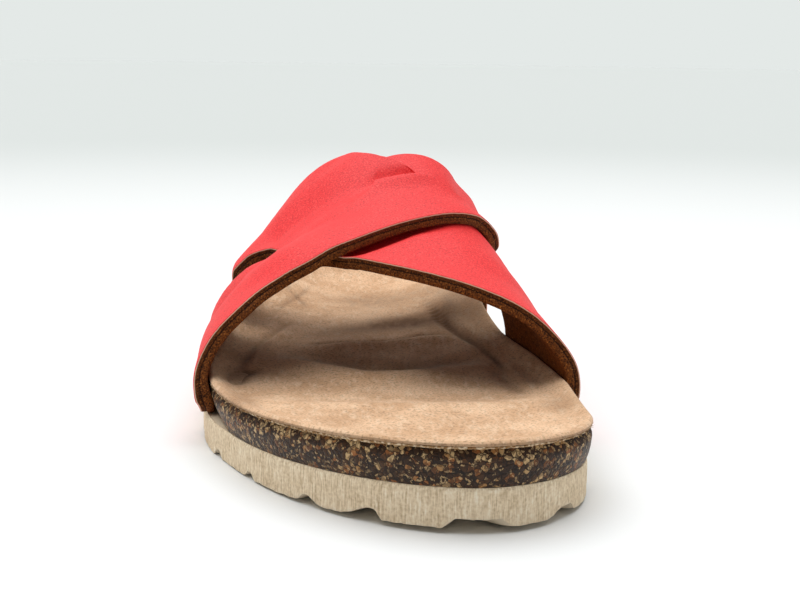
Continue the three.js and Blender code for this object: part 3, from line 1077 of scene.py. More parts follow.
def spine_numbers(numbers: np.ndarray) -> np.ndarray:
    """Closes a ring that lies on the middle line.

    Args:
        numbers: point numbers of the ring.

    Returns:
        Numbers in which both sides of the line use the same points.
    """
    count = len(numbers)
    place = np.arange(count)
    return numbers[np.where(place > count // 2, count - place, place)]


@dataclass
class Fringe:
    """Short fibres that stand out of a cut edge."""

    width: float
    shortest: float
    longest: float
    curl: float
    seed: int
    bend: float = 0.35
    root_depth: float = 0.15
    middle: float = 0.55
    middle_bend: float = 0.3
    middle_width: float = 0.7

    def add_to(self, draft: MeshDraft, roots: np.ndarray, ways: np.ndarray, finish: int,
               **marks: float) -> None:
        """Adds a fibre at each root.

        Args:
            draft: the mesh in the making.
            roots: where the fibres start.
            ways: which way they point.
            finish: finish of their faces.
            marks: numbers that they carry.
        """
        source = np.random.default_rng(self.seed)
        count = len(roots)
        way = unit(unit(ways) + source.normal(0.0, self.curl, (count, 3)))
        length = source.uniform(self.shortest, self.longest, (count, 1))
        bend = source.normal(0.0, self.bend, (count, 3)) * length
        across = unit(np.cross(way, source.normal(0.0, 1.0, (count, 3))))
        other = np.cross(way, across)
        turns = [2 * math.pi * k / 3 for k in range(3)]
        ring = np.stack([math.cos(t) * across + math.sin(t) * other for t in turns], axis=1) * self.width / 2
        low = roots[:, None] - self.root_depth * way[:, None] + ring
        centre = roots + self.middle * length * way + self.middle_bend * bend
        middle = centre[:, None] + self.middle_width * ring
        tip = roots + length * way + bend
        base = draft.add_points(low, **marks)
        half = draft.add_points(middle, **marks)
        point = draft.add_points(tip, **marks)
        after = [1, 2, 0]
        sides = np.stack([base, base[:, after], half[:, after], half], axis=-1)
        draft.add_faces(sides, finish)
        peak = np.repeat(point[:, None], 3, axis=1)
        draft.add_faces(np.stack([half, half[:, after], peak], axis=-1), finish)
        draft.add_faces(base[:, ::-1], finish)


class Notch(NamedTuple):
    """A notch in the outsole's edge.

    It has its run along the edge from the toe, its depth, half of its flat and the ramps beside it.
    """

    run: float
    depth: float
    flat: float
    before: float
    after: float


@dataclass
class Outsole:
    """Foam outsole with notched lugs round its lower edge."""

    shape: FootbedShape
    around: int = 1400
    side_rows: int = 11
    lug_pitch: float = 22.2
    notch_reach: float = 12.0
    front_notches: tuple[Notch, ...] = (
        Notch(-88.6, 1.7, 0.6, 2.6, 2.4), Notch(-67.8, 1.4, 0.4, 2.4, 2.6), Notch(-43.5, 1.7, 0.3, 3.2, 5.0),
        Notch(-24.1, 2.2, 0.5, 8.0, 2.4), Notch(0.4, 2.0, 4.6, 4.0, 3.2), Notch(24.6, 2.0, 1.5, 6.0, 2.6),
    )
    plain_notch: Notch = Notch(0.0, 1.9, 1.2, 4.5, 3.0)
    ramp_least: float = 0.25
    reach_fade: float = 0.15
    ragged: float = 0.35
    tear_size: float = 2.2
    tear_gain: float = 0.5
    nick_size: float = 0.8
    nick_gain: float = 0.35
    tear_most: float = 1.2
    tear_span: Span = (0.3, 2.0)
    crumb: float = 0.10
    crumb_size: float = 0.9
    streak_size: Place = (2.5, 2.5, 9.0)
    streak_gain: float = 0.8
    top_round: float = 0.35
    top_round_span: Span = (0.9, 1.0)
    under_middle: Series = (0.0, 0.5)
    under_inward: Series = (14.0, 12.0, 10.5, 9.0, 7.5, 6.0, 4.5, 3.0, 2.0, 1.2, 0.6, 0.25, 0.0)
    deck_rings: Series = (0.985, 0.9, 0.6, 0.0)
    edge_ground: float = 0.7
    deck_ground: float = 0.3
    crease_deg: float = 50.0
    seed: int = 11

    def build(self) -> bpy.types.Object:
        """Makes the dressed outsole.

        Returns:
            The dressed piece.
        """
        line = self.shape.outline(self.around, self.shape.curve["ledge"])
        draft = MeshDraft()
        noise = Noise(self.seed)
        near = self.shape.rings_at(line, np.array(self.under_inward))
        rings = np.concatenate([near[:1] * np.array(self.under_middle)[:, None], near])
        under = self.underside(line, rings, noise)
        x, y = self.shape.plan(line, np.array([1.0]))
        top = self.shape.top_of_outsole(line.from_toe)
        share = np.linspace(0.0, 1.0, self.side_rows)[1:, None]
        side = np.stack(np.broadcast_arrays(x, y, blend(under[-1][:, 2], top, share)), axis=-1)
        out = self.outward(line)
        streaks = self.streak_gain * self.crumb * noise(side, self.streak_size)
        rough = self.crumb * noise(side, self.crumb_size) + streaks
        inset = self.top_round * ease(*self.top_round_span, share)
        side[..., :2] += out * (rough - inset)[..., None]
        top_x, top_y = self.shape.plan(line, np.array(self.deck_rings))
        deck = np.stack([top_x, top_y, self.shape.top_of_outsole(top_y + self.shape.length / 2)], axis=-1)
        low = draft.add_points(under[:-1], ground=0.0)
        low[0] = spine_numbers(low[0])
        edge = draft.add_points(under[-1:], ground=self.edge_ground)
        wall = draft.add_points(side, ground=1.0)
        high = draft.add_points(deck, ground=self.deck_ground)
        high[-1] = spine_numbers(high[-1])
        draft.add_grid(np.concatenate([low, edge, wall, high]), closed=True)
        made = draft.make("foam_outsole", self.shape.shift, [OutsoleFoam()], self.crease_deg)
        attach(made, BODY)
        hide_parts("outsole")
        return made

    @staticmethod
    def outward(line: Outline) -> np.ndarray:
        """Level directions out of an outline.

        Args:
            line: the outline.

        Returns:
            A direction at each of its points.
        """
        dx = np.roll(line.x, -1) - np.roll(line.x, 1)
        dy = np.roll(line.y, -1) - np.roll(line.y, 1)
        return unit(np.stack([dy, -dx], axis=-1))

    def all_notches(self, around: float) -> list[Notch]:
        """The notches at the front and evenly spaced ones along the rest of the edge.

        Args:
            around: length of the edge.

        Returns:
            All of them, by their run from the toe.
        """
        first, last = self.front_notches[0].run + around, self.front_notches[-1].run
        count = round((first - last) / self.lug_pitch)
        spots = [blend(last, first, k / count) for k in range(1, count)]
        return [*self.front_notches, *(self.plain_notch._replace(run=spot) for spot in spots)]

    def cut(self, line: Outline, inward: np.ndarray) -> np.ndarray:
        """Height that the notches take off the lower face.

        Args:
            line: the outsole's outline.
            inward: distance inside the outline of each point.

        Returns:
            Heights.
        """
        run = line.run
        around = run[-1]
        taper = np.clip(1.0 - inward / self.notch_reach, 0.0, 1.0)
        total = np.zeros(inward.shape)
        for notch in self.all_notches(around):
            off = (run[:-1] - notch.run + around / 2) % around - around / 2
            ramp = np.where(off < 0, notch.before, notch.after) * np.maximum(taper, self.ramp_least)
            flat = notch.flat * taper
            level = 1.0 - ease(flat, flat + ramp, np.abs(off))
            total = np.maximum(total, notch.depth * level * ease(0.0, self.reach_fade, taper))
        return total

    def underside(self, line: Outline, rings: np.ndarray, noise: Noise) -> np.ndarray:
        """Points of the lower face.

        Args:
            line: the outsole's outline.
            rings: rings from the middle line to the outline.
            noise: noise for the ragged lower edge.

        Returns:
            Points, a row for each ring.
        """
        x, y = self.shape.plan(line, rings)
        inward = np.hypot(line.x - x, line.y - y)
        floor = self.shape.floor_of_outsole(y + self.shape.length / 2)
        points = np.stack([x, y, floor + self.cut(line, inward)], axis=-1)
        tears = NOISE_MIDDLE + self.tear_gain * noise(points, self.tear_size)
        torn = np.clip(tears + self.nick_gain * noise(points, self.nick_size), 0.0, self.tear_most)
        points[..., 2] += self.ragged * torn * (1.0 - ease(*self.tear_span, inward))
        return points


@dataclass
class CorkFootbed:
    """Cork body with a drafted side and a crumbly upper bevel."""

    shape: FootbedShape
    around: int = 1100
    draft_columns: tuple[str, ...] = ("from_toe", "draft")
    draft_rows: Rows = ((0, -1.2), (40, -1.2), (54, -1.0), (64, -1.8), (76, -2.6), (246, -2.6))
    seat_gap: float = 0.12
    cover: float = 1.95
    bevel_drop: float = 2.2
    bevel_in: float = 1.1
    bevel_power: float = 1.4
    bulge: float = 0.3
    side_in: float = 0.15
    crumb: float = 0.10
    crumb_size: float = 1.1
    grit_size: float = 0.5
    grit_gain: float = 0.7
    crumb_side: float = 0.6
    crumb_rim: float = 1.4
    side_mark: float = 0.35
    side_mark_power: int = 6
    bevel_mark: float = 0.55
    bevel_mark_gain: float = 0.45
    side_rows: int = 14
    bevel_rows: int = 6
    base_rings: Series = (0.0, 0.5, 0.95)
    top_inward: Series = (2.0, 3.0, 5.0, 7.0)
    top_rings: Series = (0.7, 0.4, 0.0)
    crease_deg: float = 60.0
    seed: int = 23

    def build(self) -> bpy.types.Object:
        """Makes the dressed cork body.

        Returns:
            The dressed piece.
        """
        noise = Noise(self.seed)
        rim = self.shape.outline(self.around, 0.0)
        drafted = table(self.draft_columns, self.draft_rows)["draft"]
        foot = self.shape.outline(self.around, drafted)
        out = Outsole.outward(rim)
        low = self.shape.top_of_outsole(foot.from_toe) + self.seat_gap
        high = self.shape.bed_height(rim, np.array([1.0]))[0] - self.cover
        turn = high - self.bevel_drop
        share = np.linspace(0.0, 1.0, self.side_rows)[:, None]
        ways = ((foot.x, rim.x), (foot.y, rim.y), (low, turn))
        side = np.stack([blend(start, end, share) for start, end in ways], axis=-1)
        side[..., :2] += out * (self.bulge * np.sin(np.pi * share) - self.side_in)[..., None]
        lean = np.linspace(0.0, 1.0, self.bevel_rows + 1)[1:, None]
        bevel = np.stack(np.broadcast_arrays(rim.x, rim.y, blend(turn, high, lean)), axis=-1)
        bevel[..., :2] += out * (-self.side_in - self.bevel_in * lean**self.bevel_power)[..., None]
        wall = np.concatenate([side, bevel])
        marks = [self.side_mark * share**self.side_mark_power, self.bevel_mark + self.bevel_mark_gain * lean]
        rim_mark = np.concatenate(marks) * np.ones(self.around)
        crumbs = noise(wall, self.crumb_size) + self.grit_gain * noise(wall, self.grit_size)
        rough = self.crumb * crumbs * (self.crumb_side + self.crumb_rim * rim_mark)
        wall[..., :2] += out * rough[..., None]
        draft = MeshDraft()
        base_x, base_y = self.shape.plan(foot, np.array(self.base_rings))
        base_z = self.shape.top_of_outsole(base_y + self.shape.length / 2) + self.seat_gap
        base = draft.add_points(np.stack([base_x, base_y, base_z], axis=-1), rim=0.0)
        base[0] = spine_numbers(base[0])
        middle = draft.add_points(wall, rim=rim_mark)
        inner_rings = self.shape.rings_at(rim, np.array(self.top_inward))
        middle_rings = np.repeat(np.array(self.top_rings)[:, None], self.around, axis=1)
        bed_rings = np.concatenate([inner_rings, middle_rings])
        top_x, top_y = self.shape.plan(rim, bed_rings)
        top_z = self.shape.bed_height(rim, bed_rings) - self.cover
        top = draft.add_points(np.stack([top_x, top_y, top_z], axis=-1), rim=1.0)
        top[-1] = spine_numbers(top[-1])
        draft.add_grid(np.concatenate([base, middle, top]), closed=True)
        made = draft.make("cork_body", self.shape.shift, [GroundCork()], self.crease_deg)
        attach(made, BODY)
        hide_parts("cork_footbed")
        return made


@dataclass
class JuteBand:
    """Jute cloth that shows as a pale frayed line under the lining's edge."""

    shape: FootbedShape
    around: int = 1600
    section: Rows = (
        (5.0, 0.0), (2.5, 0.0), (0.6, 0.0), (0.15, 0.12), (0.0, 0.35), (0.0, 0.65), (0.15, 0.88), (0.6, 1.0),
        (2.5, 1.0), (5.0, 1.0),
    )
    edge_row: int = 4
    drop: float = 1.25
    thickness: float = 0.5
    stand_out: float = -0.25
    ragged: float = 0.24
    fray_size: float = 0.9
    wave_size: float = 2.6
    wave_gain: float = 0.5
    fray_span: Span = (0.3, 1.5)
    lift: float = 0.12
    lift_size: float = 0.8
    lift_offset: float = 50.0
    fibres_per_mm: float = 2.6
    fibre_slant: float = 0.9
    fibre_tilt: float = 0.35
    fibre_spread: float = 0.1
    crease_deg: float = 60.0
    seed: int = 31

    def build(self) -> bpy.types.Object:
        """Makes the dressed band.

        Returns:
            The dressed piece.
        """
        noise = Noise(self.seed)
        rim = self.shape.outline(self.around, 0.0)
        out = Outsole.outward(rim)
        inward, depth = np.array(self.section).T
        rings = self.shape.rings_at(rim, inward)
        x, y = self.shape.plan(rim, rings)
        z = self.shape.bed_height(rim, rings) - self.drop - self.thickness * depth[:, None]
        band = np.stack([x, y, z], axis=-1)
        waves = noise(band, self.fray_size) + self.wave_gain * noise(band, self.wave_size)
        frayed = self.stand_out + self.ragged * waves
        near = (1.0 - ease(*self.fray_span, inward))[:, None]
        band[..., :2] += out * (frayed * near)[..., None]
        band[..., 2] += self.lift * noise(band + self.lift_offset, self.lift_size) * near
        draft = MeshDraft()
        numbers = draft.add_points(band[::-1])
        draft.add_grid(np.concatenate([numbers, numbers[:1]]), closed=True)
        self.add_fibres(draft, band[self.edge_row], out)
        made = draft.make("jute_edge", self.shape.shift, [JuteThread()], self.crease_deg)
        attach(made, BODY)
        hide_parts("jute_band")
        return made

    def add_fibres(self, draft: MeshDraft, edge: np.ndarray, out: np.ndarray) -> None:
        """Adds loose fibres round the outer edge.

        Args:
            draft: the mesh in the making.
            edge: points of the edge.
            out: level directions out of it.
        """
        source = np.random.default_rng(self.seed)
        around = np.hypot(*(np.roll(edge, -1, axis=0) - edge)[:, :2].T).sum()
        pick = source.integers(0, self.around, int(around * self.fibres_per_mm))
        along = np.roll(edge, -1, axis=0)[pick] - edge[pick]
        ways = np.concatenate([out[pick], np.zeros((len(pick), 1))], axis=1)
        ways += unit(along) * source.normal(0.0, self.fibre_slant, (len(pick), 1))
        ways[:, 2] += source.normal(0.0, self.fibre_tilt, len(pick))
        spread = source.uniform(-self.fibre_spread, self.fibre_spread, (len(pick), 1))
        roots = edge[pick] + np.array([0.0, 0.0, 1.0]) * spread
        fringe = Fringe(width=0.09, shortest=0.25, longest=0.8, curl=0.2, seed=self.seed)
        fringe.add_to(draft, roots, ways, 0)


@dataclass(frozen=True)
class Fold:
    """A soft ridge or trough of the lining.

    Its path is a list of places across and along the shoe, in x and distance from the toe. Its last number
    darkens the lining along it: painted crease shade together with dirt.
    """

    path: tuple[Span, ...]
    height: float
    left: float
    right: float
    soil: float = 0.0
    blunt: float = 0.25
    steps: int = 48

    def weight(self, x: np.ndarray, from_toe: np.ndarray) -> np.ndarray:
        """How much of the fold there is at each place, 0 to 1.

        Args:
            x: places across the shoe.
            from_toe: places along it.

        Returns:
            The weights.
        """
        at = np.linspace(0.0, 1.0, len(self.path))
        fine = np.linspace(0.0, 1.0, self.steps)
        line_x = SmoothCurve(at, [p[0] for p in self.path])(fine)
        line_y = SmoothCurve(at, [p[1] for p in self.path])(fine)
        way_x, way_y = np.gradient(line_x), np.gradient(line_y)
        ends = ease(0.0, self.blunt, fine) * ease(1.0, 1.0 - self.blunt, fine)
        most = np.zeros(x.shape)
        for px, py, wx, wy, end in zip(line_x, line_y, way_x, way_y, ends):
            off_x, off_y = x - px, from_toe - py
            width = np.where(wx * off_y > wy * off_x, self.left, self.right)
            most = np.maximum(most, end * np.exp(-(off_x**2 + off_y**2) / width**2))
        return most


@dataclass(frozen=True)
class ShadowAndStain:
    """A darker patch of the lining: painted shadow where the straps shade the footbed, together with dirt.
    """

    x: float
    from_toe: float
    across: float
    along: float
    strength: float

    def weight(self, x: np.ndarray, from_toe: np.ndarray) -> np.ndarray:
        """Strength of the patch at each place."""
        far = ((x - self.x) / self.across) ** 2 + ((from_toe - self.from_toe) / self.along) ** 2
        return self.strength * np.exp(-far)


@dataclass
class SuedeLining:
    """Suede that covers the footbed from rim to rim, with the folds pressed into it."""

    shape: FootbedShape
    around: int = 900
    thickness: float = 1.2
    lip_in: float = 1.7
    lip_height: float = 0.3
    lip_width: float = 1.8
    gutter_in: float = 6.5
    gutter_depth: float = 0.5
    gutter_width: float = 2.6
    edge_round: float = 0.75
    edge_round_length: float = 1.2
    nap: float = 0.04
    nap_size: float = 1.1
    swell: float = 0.12
    swell_size: float = 9.0
    inner_rows: int = 62
    inner_end: float = 0.88
    inner_scale: float = 0.9
    near_inward: Series = (4.4, 3.6, 2.9, 2.2, 1.6, 1.1, 0.7, 0.4, 0.18)
    lower_near: int = 3
    lower_rings: Series = (0.7, 0.35, 0.0)
    edge_drops: Series = (0.75, 0.95, 1.1)
    edge_soil: float = 0.5
    crease_deg: float = 70.0
    seed: int = 41
    # The last number of each fold is painted crease shade together with dirt; the second fold has no height
    # and only paints the shade behind the toe bar.
    folds: tuple[Fold, ...] = (
        Fold(((-36, 101), (-27, 100), (-13.4, 92), (-5.4, 87.5), (3, 89), (17, 96), (30, 96)),
             1.5, 4.0, 7.0),
        Fold(((-36, 102), (-27, 101), (-13.4, 93), (-5.4, 88.5), (3, 90), (17, 97), (30, 97)),
             0.0, 11.0, 1.2, 0.4),
        Fold(((-30, 108), (-18, 104), (-4, 97), (8, 95), (20, 101), (29, 106)), -1.0, 5.0, 4.0, 0.2),
        Fold(((-22, 112), (-10.5, 116), (-2.9, 116), (3.8, 118), (14.2, 121), (23, 117)), 1.0, 2.2, 4.0),
        Fold(((-25, 115), (-18.7, 118.2), (-10, 120.4), (0, 120.3), (10.6, 126), (20.6, 122.6)),
             -0.6, 1.2, 1.0, 0.6),
        Fold(((-20, 133), (-9.8, 135.6), (5.5, 141), (15, 141)), -0.5, 7.0, 9.0, 0.5),
        Fold(((13.1, 174), (17.5, 139), (22, 122), (26.7, 110.8), (30.7, 97), (32.6, 83)),
             -0.9, 1.6, 1.3, 0.6),
        Fold(((17, 171), (21.8, 136.5), (27.3, 117), (32.4, 99)), 0.8, 2.4, 2.4),
        Fold(((28, 99.5), (30.0, 86), (31.8, 76.6), (34, 64)), -0.8, 2.4, 2.4, 0.35),
        Fold(((-24.8, 150), (-33.3, 125.5), (-38.3, 107.6), (-41, 88)), -0.8, 1.5, 1.7, 0.5),
        Fold(((-20, 152), (-28.6, 128), (-34, 111), (-37, 95)), 0.5, 2.4, 2.4),
        Fold(((-36, 139), (-31, 158), (-25.2, 177.2), (-18.6, 206)), -0.4, 1.0, 1.0, 0.3),
        Fold(((-22, 160), (-25, 172), (-29, 182), (-30, 196)), -0.4, 1.0, 1.2, 0.25),
        Fold(((-36, 94), (-40.5, 86), (-42, 76)), -1.0, 3.0, 2.4, 0.5),
    )
    # Darker patches: painted shadow of the straps on the footbed, together with dirt.
    shadows_and_stains: tuple[ShadowAndStain, ...] = (
        ShadowAndStain(6.0, 142.0, 16.0, 12.0, 0.54),
        ShadowAndStain(0.0, 176.0, 24.0, 20.0, 0.62),
        ShadowAndStain(21.0, 152.0, 7.0, 18.0, 0.40),
        ShadowAndStain(-40.0, 88.0, 5.0, 10.0, 0.45),
        ShadowAndStain(26.0, 130.0, 9.0, 18.0, 0.36),
        ShadowAndStain(33.0, 140.0, 6.0, 20.0, 0.30),
        ShadowAndStain(-27.0, 160.0, 6.0, 22.0, 0.2),
        ShadowAndStain(-38.0, 55.0, 7.0, 18.0, 0.48),
        ShadowAndStain(40.0, 50.0, 6.0, 15.0, 0.46),
    )

    def build(self) -> bpy.types.Object:
        """Makes the dressed lining.

        Returns:
            The dressed piece.
        """
        rim = self.shape.outline(self.around, 0.0)
        near = self.shape.rings_at(rim, np.array(self.near_inward))
        inner = np.linspace(0.0, self.inner_end, self.inner_rows)[:, None] * near[:1] / self.inner_scale
        rings = np.concatenate([inner, near])
        face, soil = self.face(rim, rings)
        lower_middle = np.repeat(np.array(self.lower_rings)[:, None], self.around, axis=1)
        lower_rings = np.concatenate([near[-1:], near[self.lower_near:self.lower_near + 1], lower_middle])
        lower = self.plain(rim, lower_rings) - np.array([0.0, 0.0, self.thickness])
        edge_line = np.stack([rim.x, rim.y, self.plain(rim, np.ones((1, self.around)))[0, :, 2]], axis=-1)
        edge = edge_line - np.array(self.edge_drops)[:, None, None] * np.array([0.0, 0.0, 1.0])
        draft = MeshDraft()
        top = draft.add_points(face[::-1], soil=soil[::-1])
        top[-1] = spine_numbers(top[-1])
        # The lining's edge and underside take a fixed share of the same darkening mark.
        side = draft.add_points(edge[::-1], soil=self.edge_soil)
        bottom = draft.add_points(lower[::-1], soil=self.edge_soil)
        bottom[0] = spine_numbers(bottom[0])
        draft.add_grid(np.concatenate([bottom, side, top]), closed=True)
        made = draft.make("suede_footbed", self.shape.shift, [FootbedSuede()], self.crease_deg)
        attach(made, BODY)
        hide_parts("footbed_lining")
        return made

    def plain(self, rim: Outline, rings: np.ndarray) -> np.ndarray:
        """Points of the smooth upper face."""
        x, y = self.shape.plan(rim, rings)
        return np.stack([x, y, self.shape.bed_height(rim, rings)], axis=-1)

    def face(self, rim: Outline, rings: np.ndarray) -> tuple[np.ndarray, np.ndarray]:
        """Upper face with its lip and folds.

        Args:
            rim: the outline of the lining.
            rings: rings from the middle line to the rim.

        Returns:
            Points, and how much painted shade and dirt darken each of them.
        """
        points = self.plain(rim, rings)
        x, from_toe = points[..., 0], points[..., 1] + self.shape.length / 2
        inward = np.hypot(rim.x - x, rim.y - points[..., 1])
        lip = self.lip_height * np.exp(-(((inward - self.lip_in) / self.lip_width) ** 2))
        gutter = self.gutter_depth * np.exp(-(((inward - self.gutter_in) / self.gutter_width) ** 2))
        rolled = self.edge_round * (1.0 - ease(0.0, self.edge_round_length, inward)) ** 2
        rise = lip - gutter - rolled
        # The darkening mark adds painted crease shade and dirt from the folds, and painted strap shadow and
        # dirt from the patches.
        soil = np.zeros_like(x)
        for fold in self.folds:
            weight = fold.weight(x, from_toe)
            rise = rise + fold.height * weight
            soil = soil + fold.soil * weight
        for shadow_and_stain in self.shadows_and_stains:
            soil = soil + shadow_and_stain.weight(x, from_toe)
        noise = Noise(self.seed)
        rise = rise + self.nap * noise(points, self.nap_size) + self.swell * noise(points, self.swell_size)
        points[..., 2] += rise
        return points, np.clip(soil, 0.0, 1.0)


@dataclass(frozen=True)
class StrapForm:
    """Surface that the straps' inner faces follow, from the little-toe side over the crown."""

    shape: FootbedShape
    base_height: float = 8.6
    foot_tuck: float = 1.0
    foot_tuck_top: float = 18.0
    seat_gap: float = 0.3
    lateral_slack: float = 1.2
    medial_slack: float = 0.95
    dent_from: float = 1.0
    crown_share: float = 0.5
    share_step: float = 0.004
    along_step: float = 0.5
    columns: tuple[str, ...] = ("from_toe", "crown_x", "crown_z", "wall_z", "lateral_x", "lateral_z",
                                "medial_x", "medial_z", "lateral_dent", "medial_dent")
    rows: Rows = (
        (55, -3.00, 39.0, 8.6, 2.70, 3.00, 2.05, 2.73, 0.0, 1.7),
        (70, -1.95, 40.8, 8.6, 2.38, 2.84, 2.21, 2.88, 0.6, 1.8),
        (85, -1.58, 43.8, 8.6, 2.12, 2.59, 2.59, 2.45, 0.5, 1.1),
        (100, -0.92, 48.6, 9.5, 1.66, 2.45, 2.57, 2.78, 0.2, 1.3),
        (115, -0.66, 53.2, 11.5, 1.10, 2.06, 2.73, 2.78, -0.3, 0.6),
        (130, -0.79, 58.1, 14.0, 1.05, 1.94, 2.53, 2.45, -0.5, 0.6),
        (145, -0.96, 65.8, 17.5, 1.39, 1.97, 2.42, 2.29, 1.7, 2.0),
        (170, -1.12, 74.4, 24.5, 1.38, 1.61, 2.29, 2.21, 5.3, 3.9),
    )

    @cached_property
    def curve(self) -> dict[str, SmoothCurve]:
        """Curves of the table."""
        return table(self.columns, self.rows)

    def point(self, share: np.ndarray, along: np.ndarray) -> np.ndarray:
        """Points of the form.

        Args:
            share: share of the way over the foot, 0 to 1.
            along: distance from the toe.

        Returns:
            The points.
        """
        swing = np.abs(2 * share - 1) * np.pi / 2
        medial = share > self.crown_share
        power_x = by_side(self.curve, "x", medial, along)
        power_z = by_side(self.curve, "z", medial, along)
        rim = self.shape.side_x(along, medial)
        big_toe = rim + self.seat_gap + self.medial_slack
        little_toe = rim - self.seat_gap - self.lateral_slack
        base = np.where(medial, big_toe, little_toe)
        crown_x, crown_z, wall_z = (self.curve[name](along) for name in ("crown_x", "crown_z", "wall_z"))
        z = blend(self.base_height, crown_z, np.maximum(np.cos(swing), 0.0) ** (2 / power_z))
        climb = np.clip((z - wall_z) / (crown_z - wall_z), 0.0, 1.0)
        spread = (1 - climb**power_z) ** (1 / power_x)
        tuck = self.foot_tuck * (1 - ease(self.base_height, self.foot_tuck_top, z))
        drawn_in = (tuck + self.dent(along, z, medial)) * np.where(medial, -1.0, 1.0)
        x = blend(crown_x, base, spread) + drawn_in
        return np.stack([x, self.shape.y_of(along), z], axis=-1)

    def dent(self, along: np.ndarray, z: np.ndarray, medial: np.ndarray) -> np.ndarray:
        """How far the side of the form is drawn in between the rim and the crown.

        Args:
            along: distance from the toe.
            z: height.
            medial: whether the big-toe side is meant.

        Returns:
            Distances.
        """
        low = by_side(self.shape.curve, "rim", medial, along) + self.dent_from
        height = np.clip((z - low) / (self.curve["crown_z"](along) - low), 0.0, 1.0)
        return by_side(self.curve, "dent", medial, along) * np.sin(np.pi * height) ** 2

    def normal(self, share: np.ndarray, along: np.ndarray) -> np.ndarray:
        """Outward directions of the form.

        Args:
            share: share of the way over the foot, 0 to 1.
            along: distance from the toe.

        Returns:
            The directions.
        """
        before, after = np.maximum(share - self.share_step, 0.0), np.minimum(share + self.share_step, 1.0)
        across = self.point(after, along) - self.point(before, along)
        onward = self.point(share, along + self.along_step) - self.point(share, along - self.along_step)
        return unit(np.cross(across, onward))


@dataclass(frozen=True)
class StrapCut:
    """Edges of a strap and of its slit at each share of the way over the foot, as distances from the toe."""

    rows: Rows
    apex: float
    slit_side: Side
    columns: tuple[str, ...] = ("share", "front", "front_lip", "rear_lip", "rear")

    @cached_property
    def curve(self) -> dict[str, SmoothCurve]:
        """Curves of the table."""
        return table(self.columns, self.rows)

    @property
    def first(self) -> float:
        """Share at which the strap starts."""
        return self.rows[0][0]

    @property
    def last(self) -> float:
        """Share at which the strap ends."""
        return self.rows[-1][0]

    def is_open(self, share: np.ndarray) -> np.ndarray:
        """Whether the slit's lips are apart."""
        little = self.slit_side is Side.LITTLE_TOE
        return share < self.apex - TINY if little else share > self.apex + TINY


def border_loops(faces: np.ndarray) -> list[np.ndarray]:
    """Closed loops of the edges that only one quad uses.

    Args:
        faces: quads.

    Returns:
        Point numbers of each loop, in the quads' own direction.
    """
    edges = np.concatenate([np.stack([faces[:, k], faces[:, (k + 1) % 4]], axis=-1) for k in range(4)])
    directed = set(map(tuple, edges.tolist()))
    following = {a: b for a, b in directed if (b, a) not in directed}
    loops = []
    while following:
        start = min(following)
        loop = [start]
        while (after := following.pop(loop[-1])) != start:
            loop.append(after)
        loops.append(np.array(loop))
    return loops


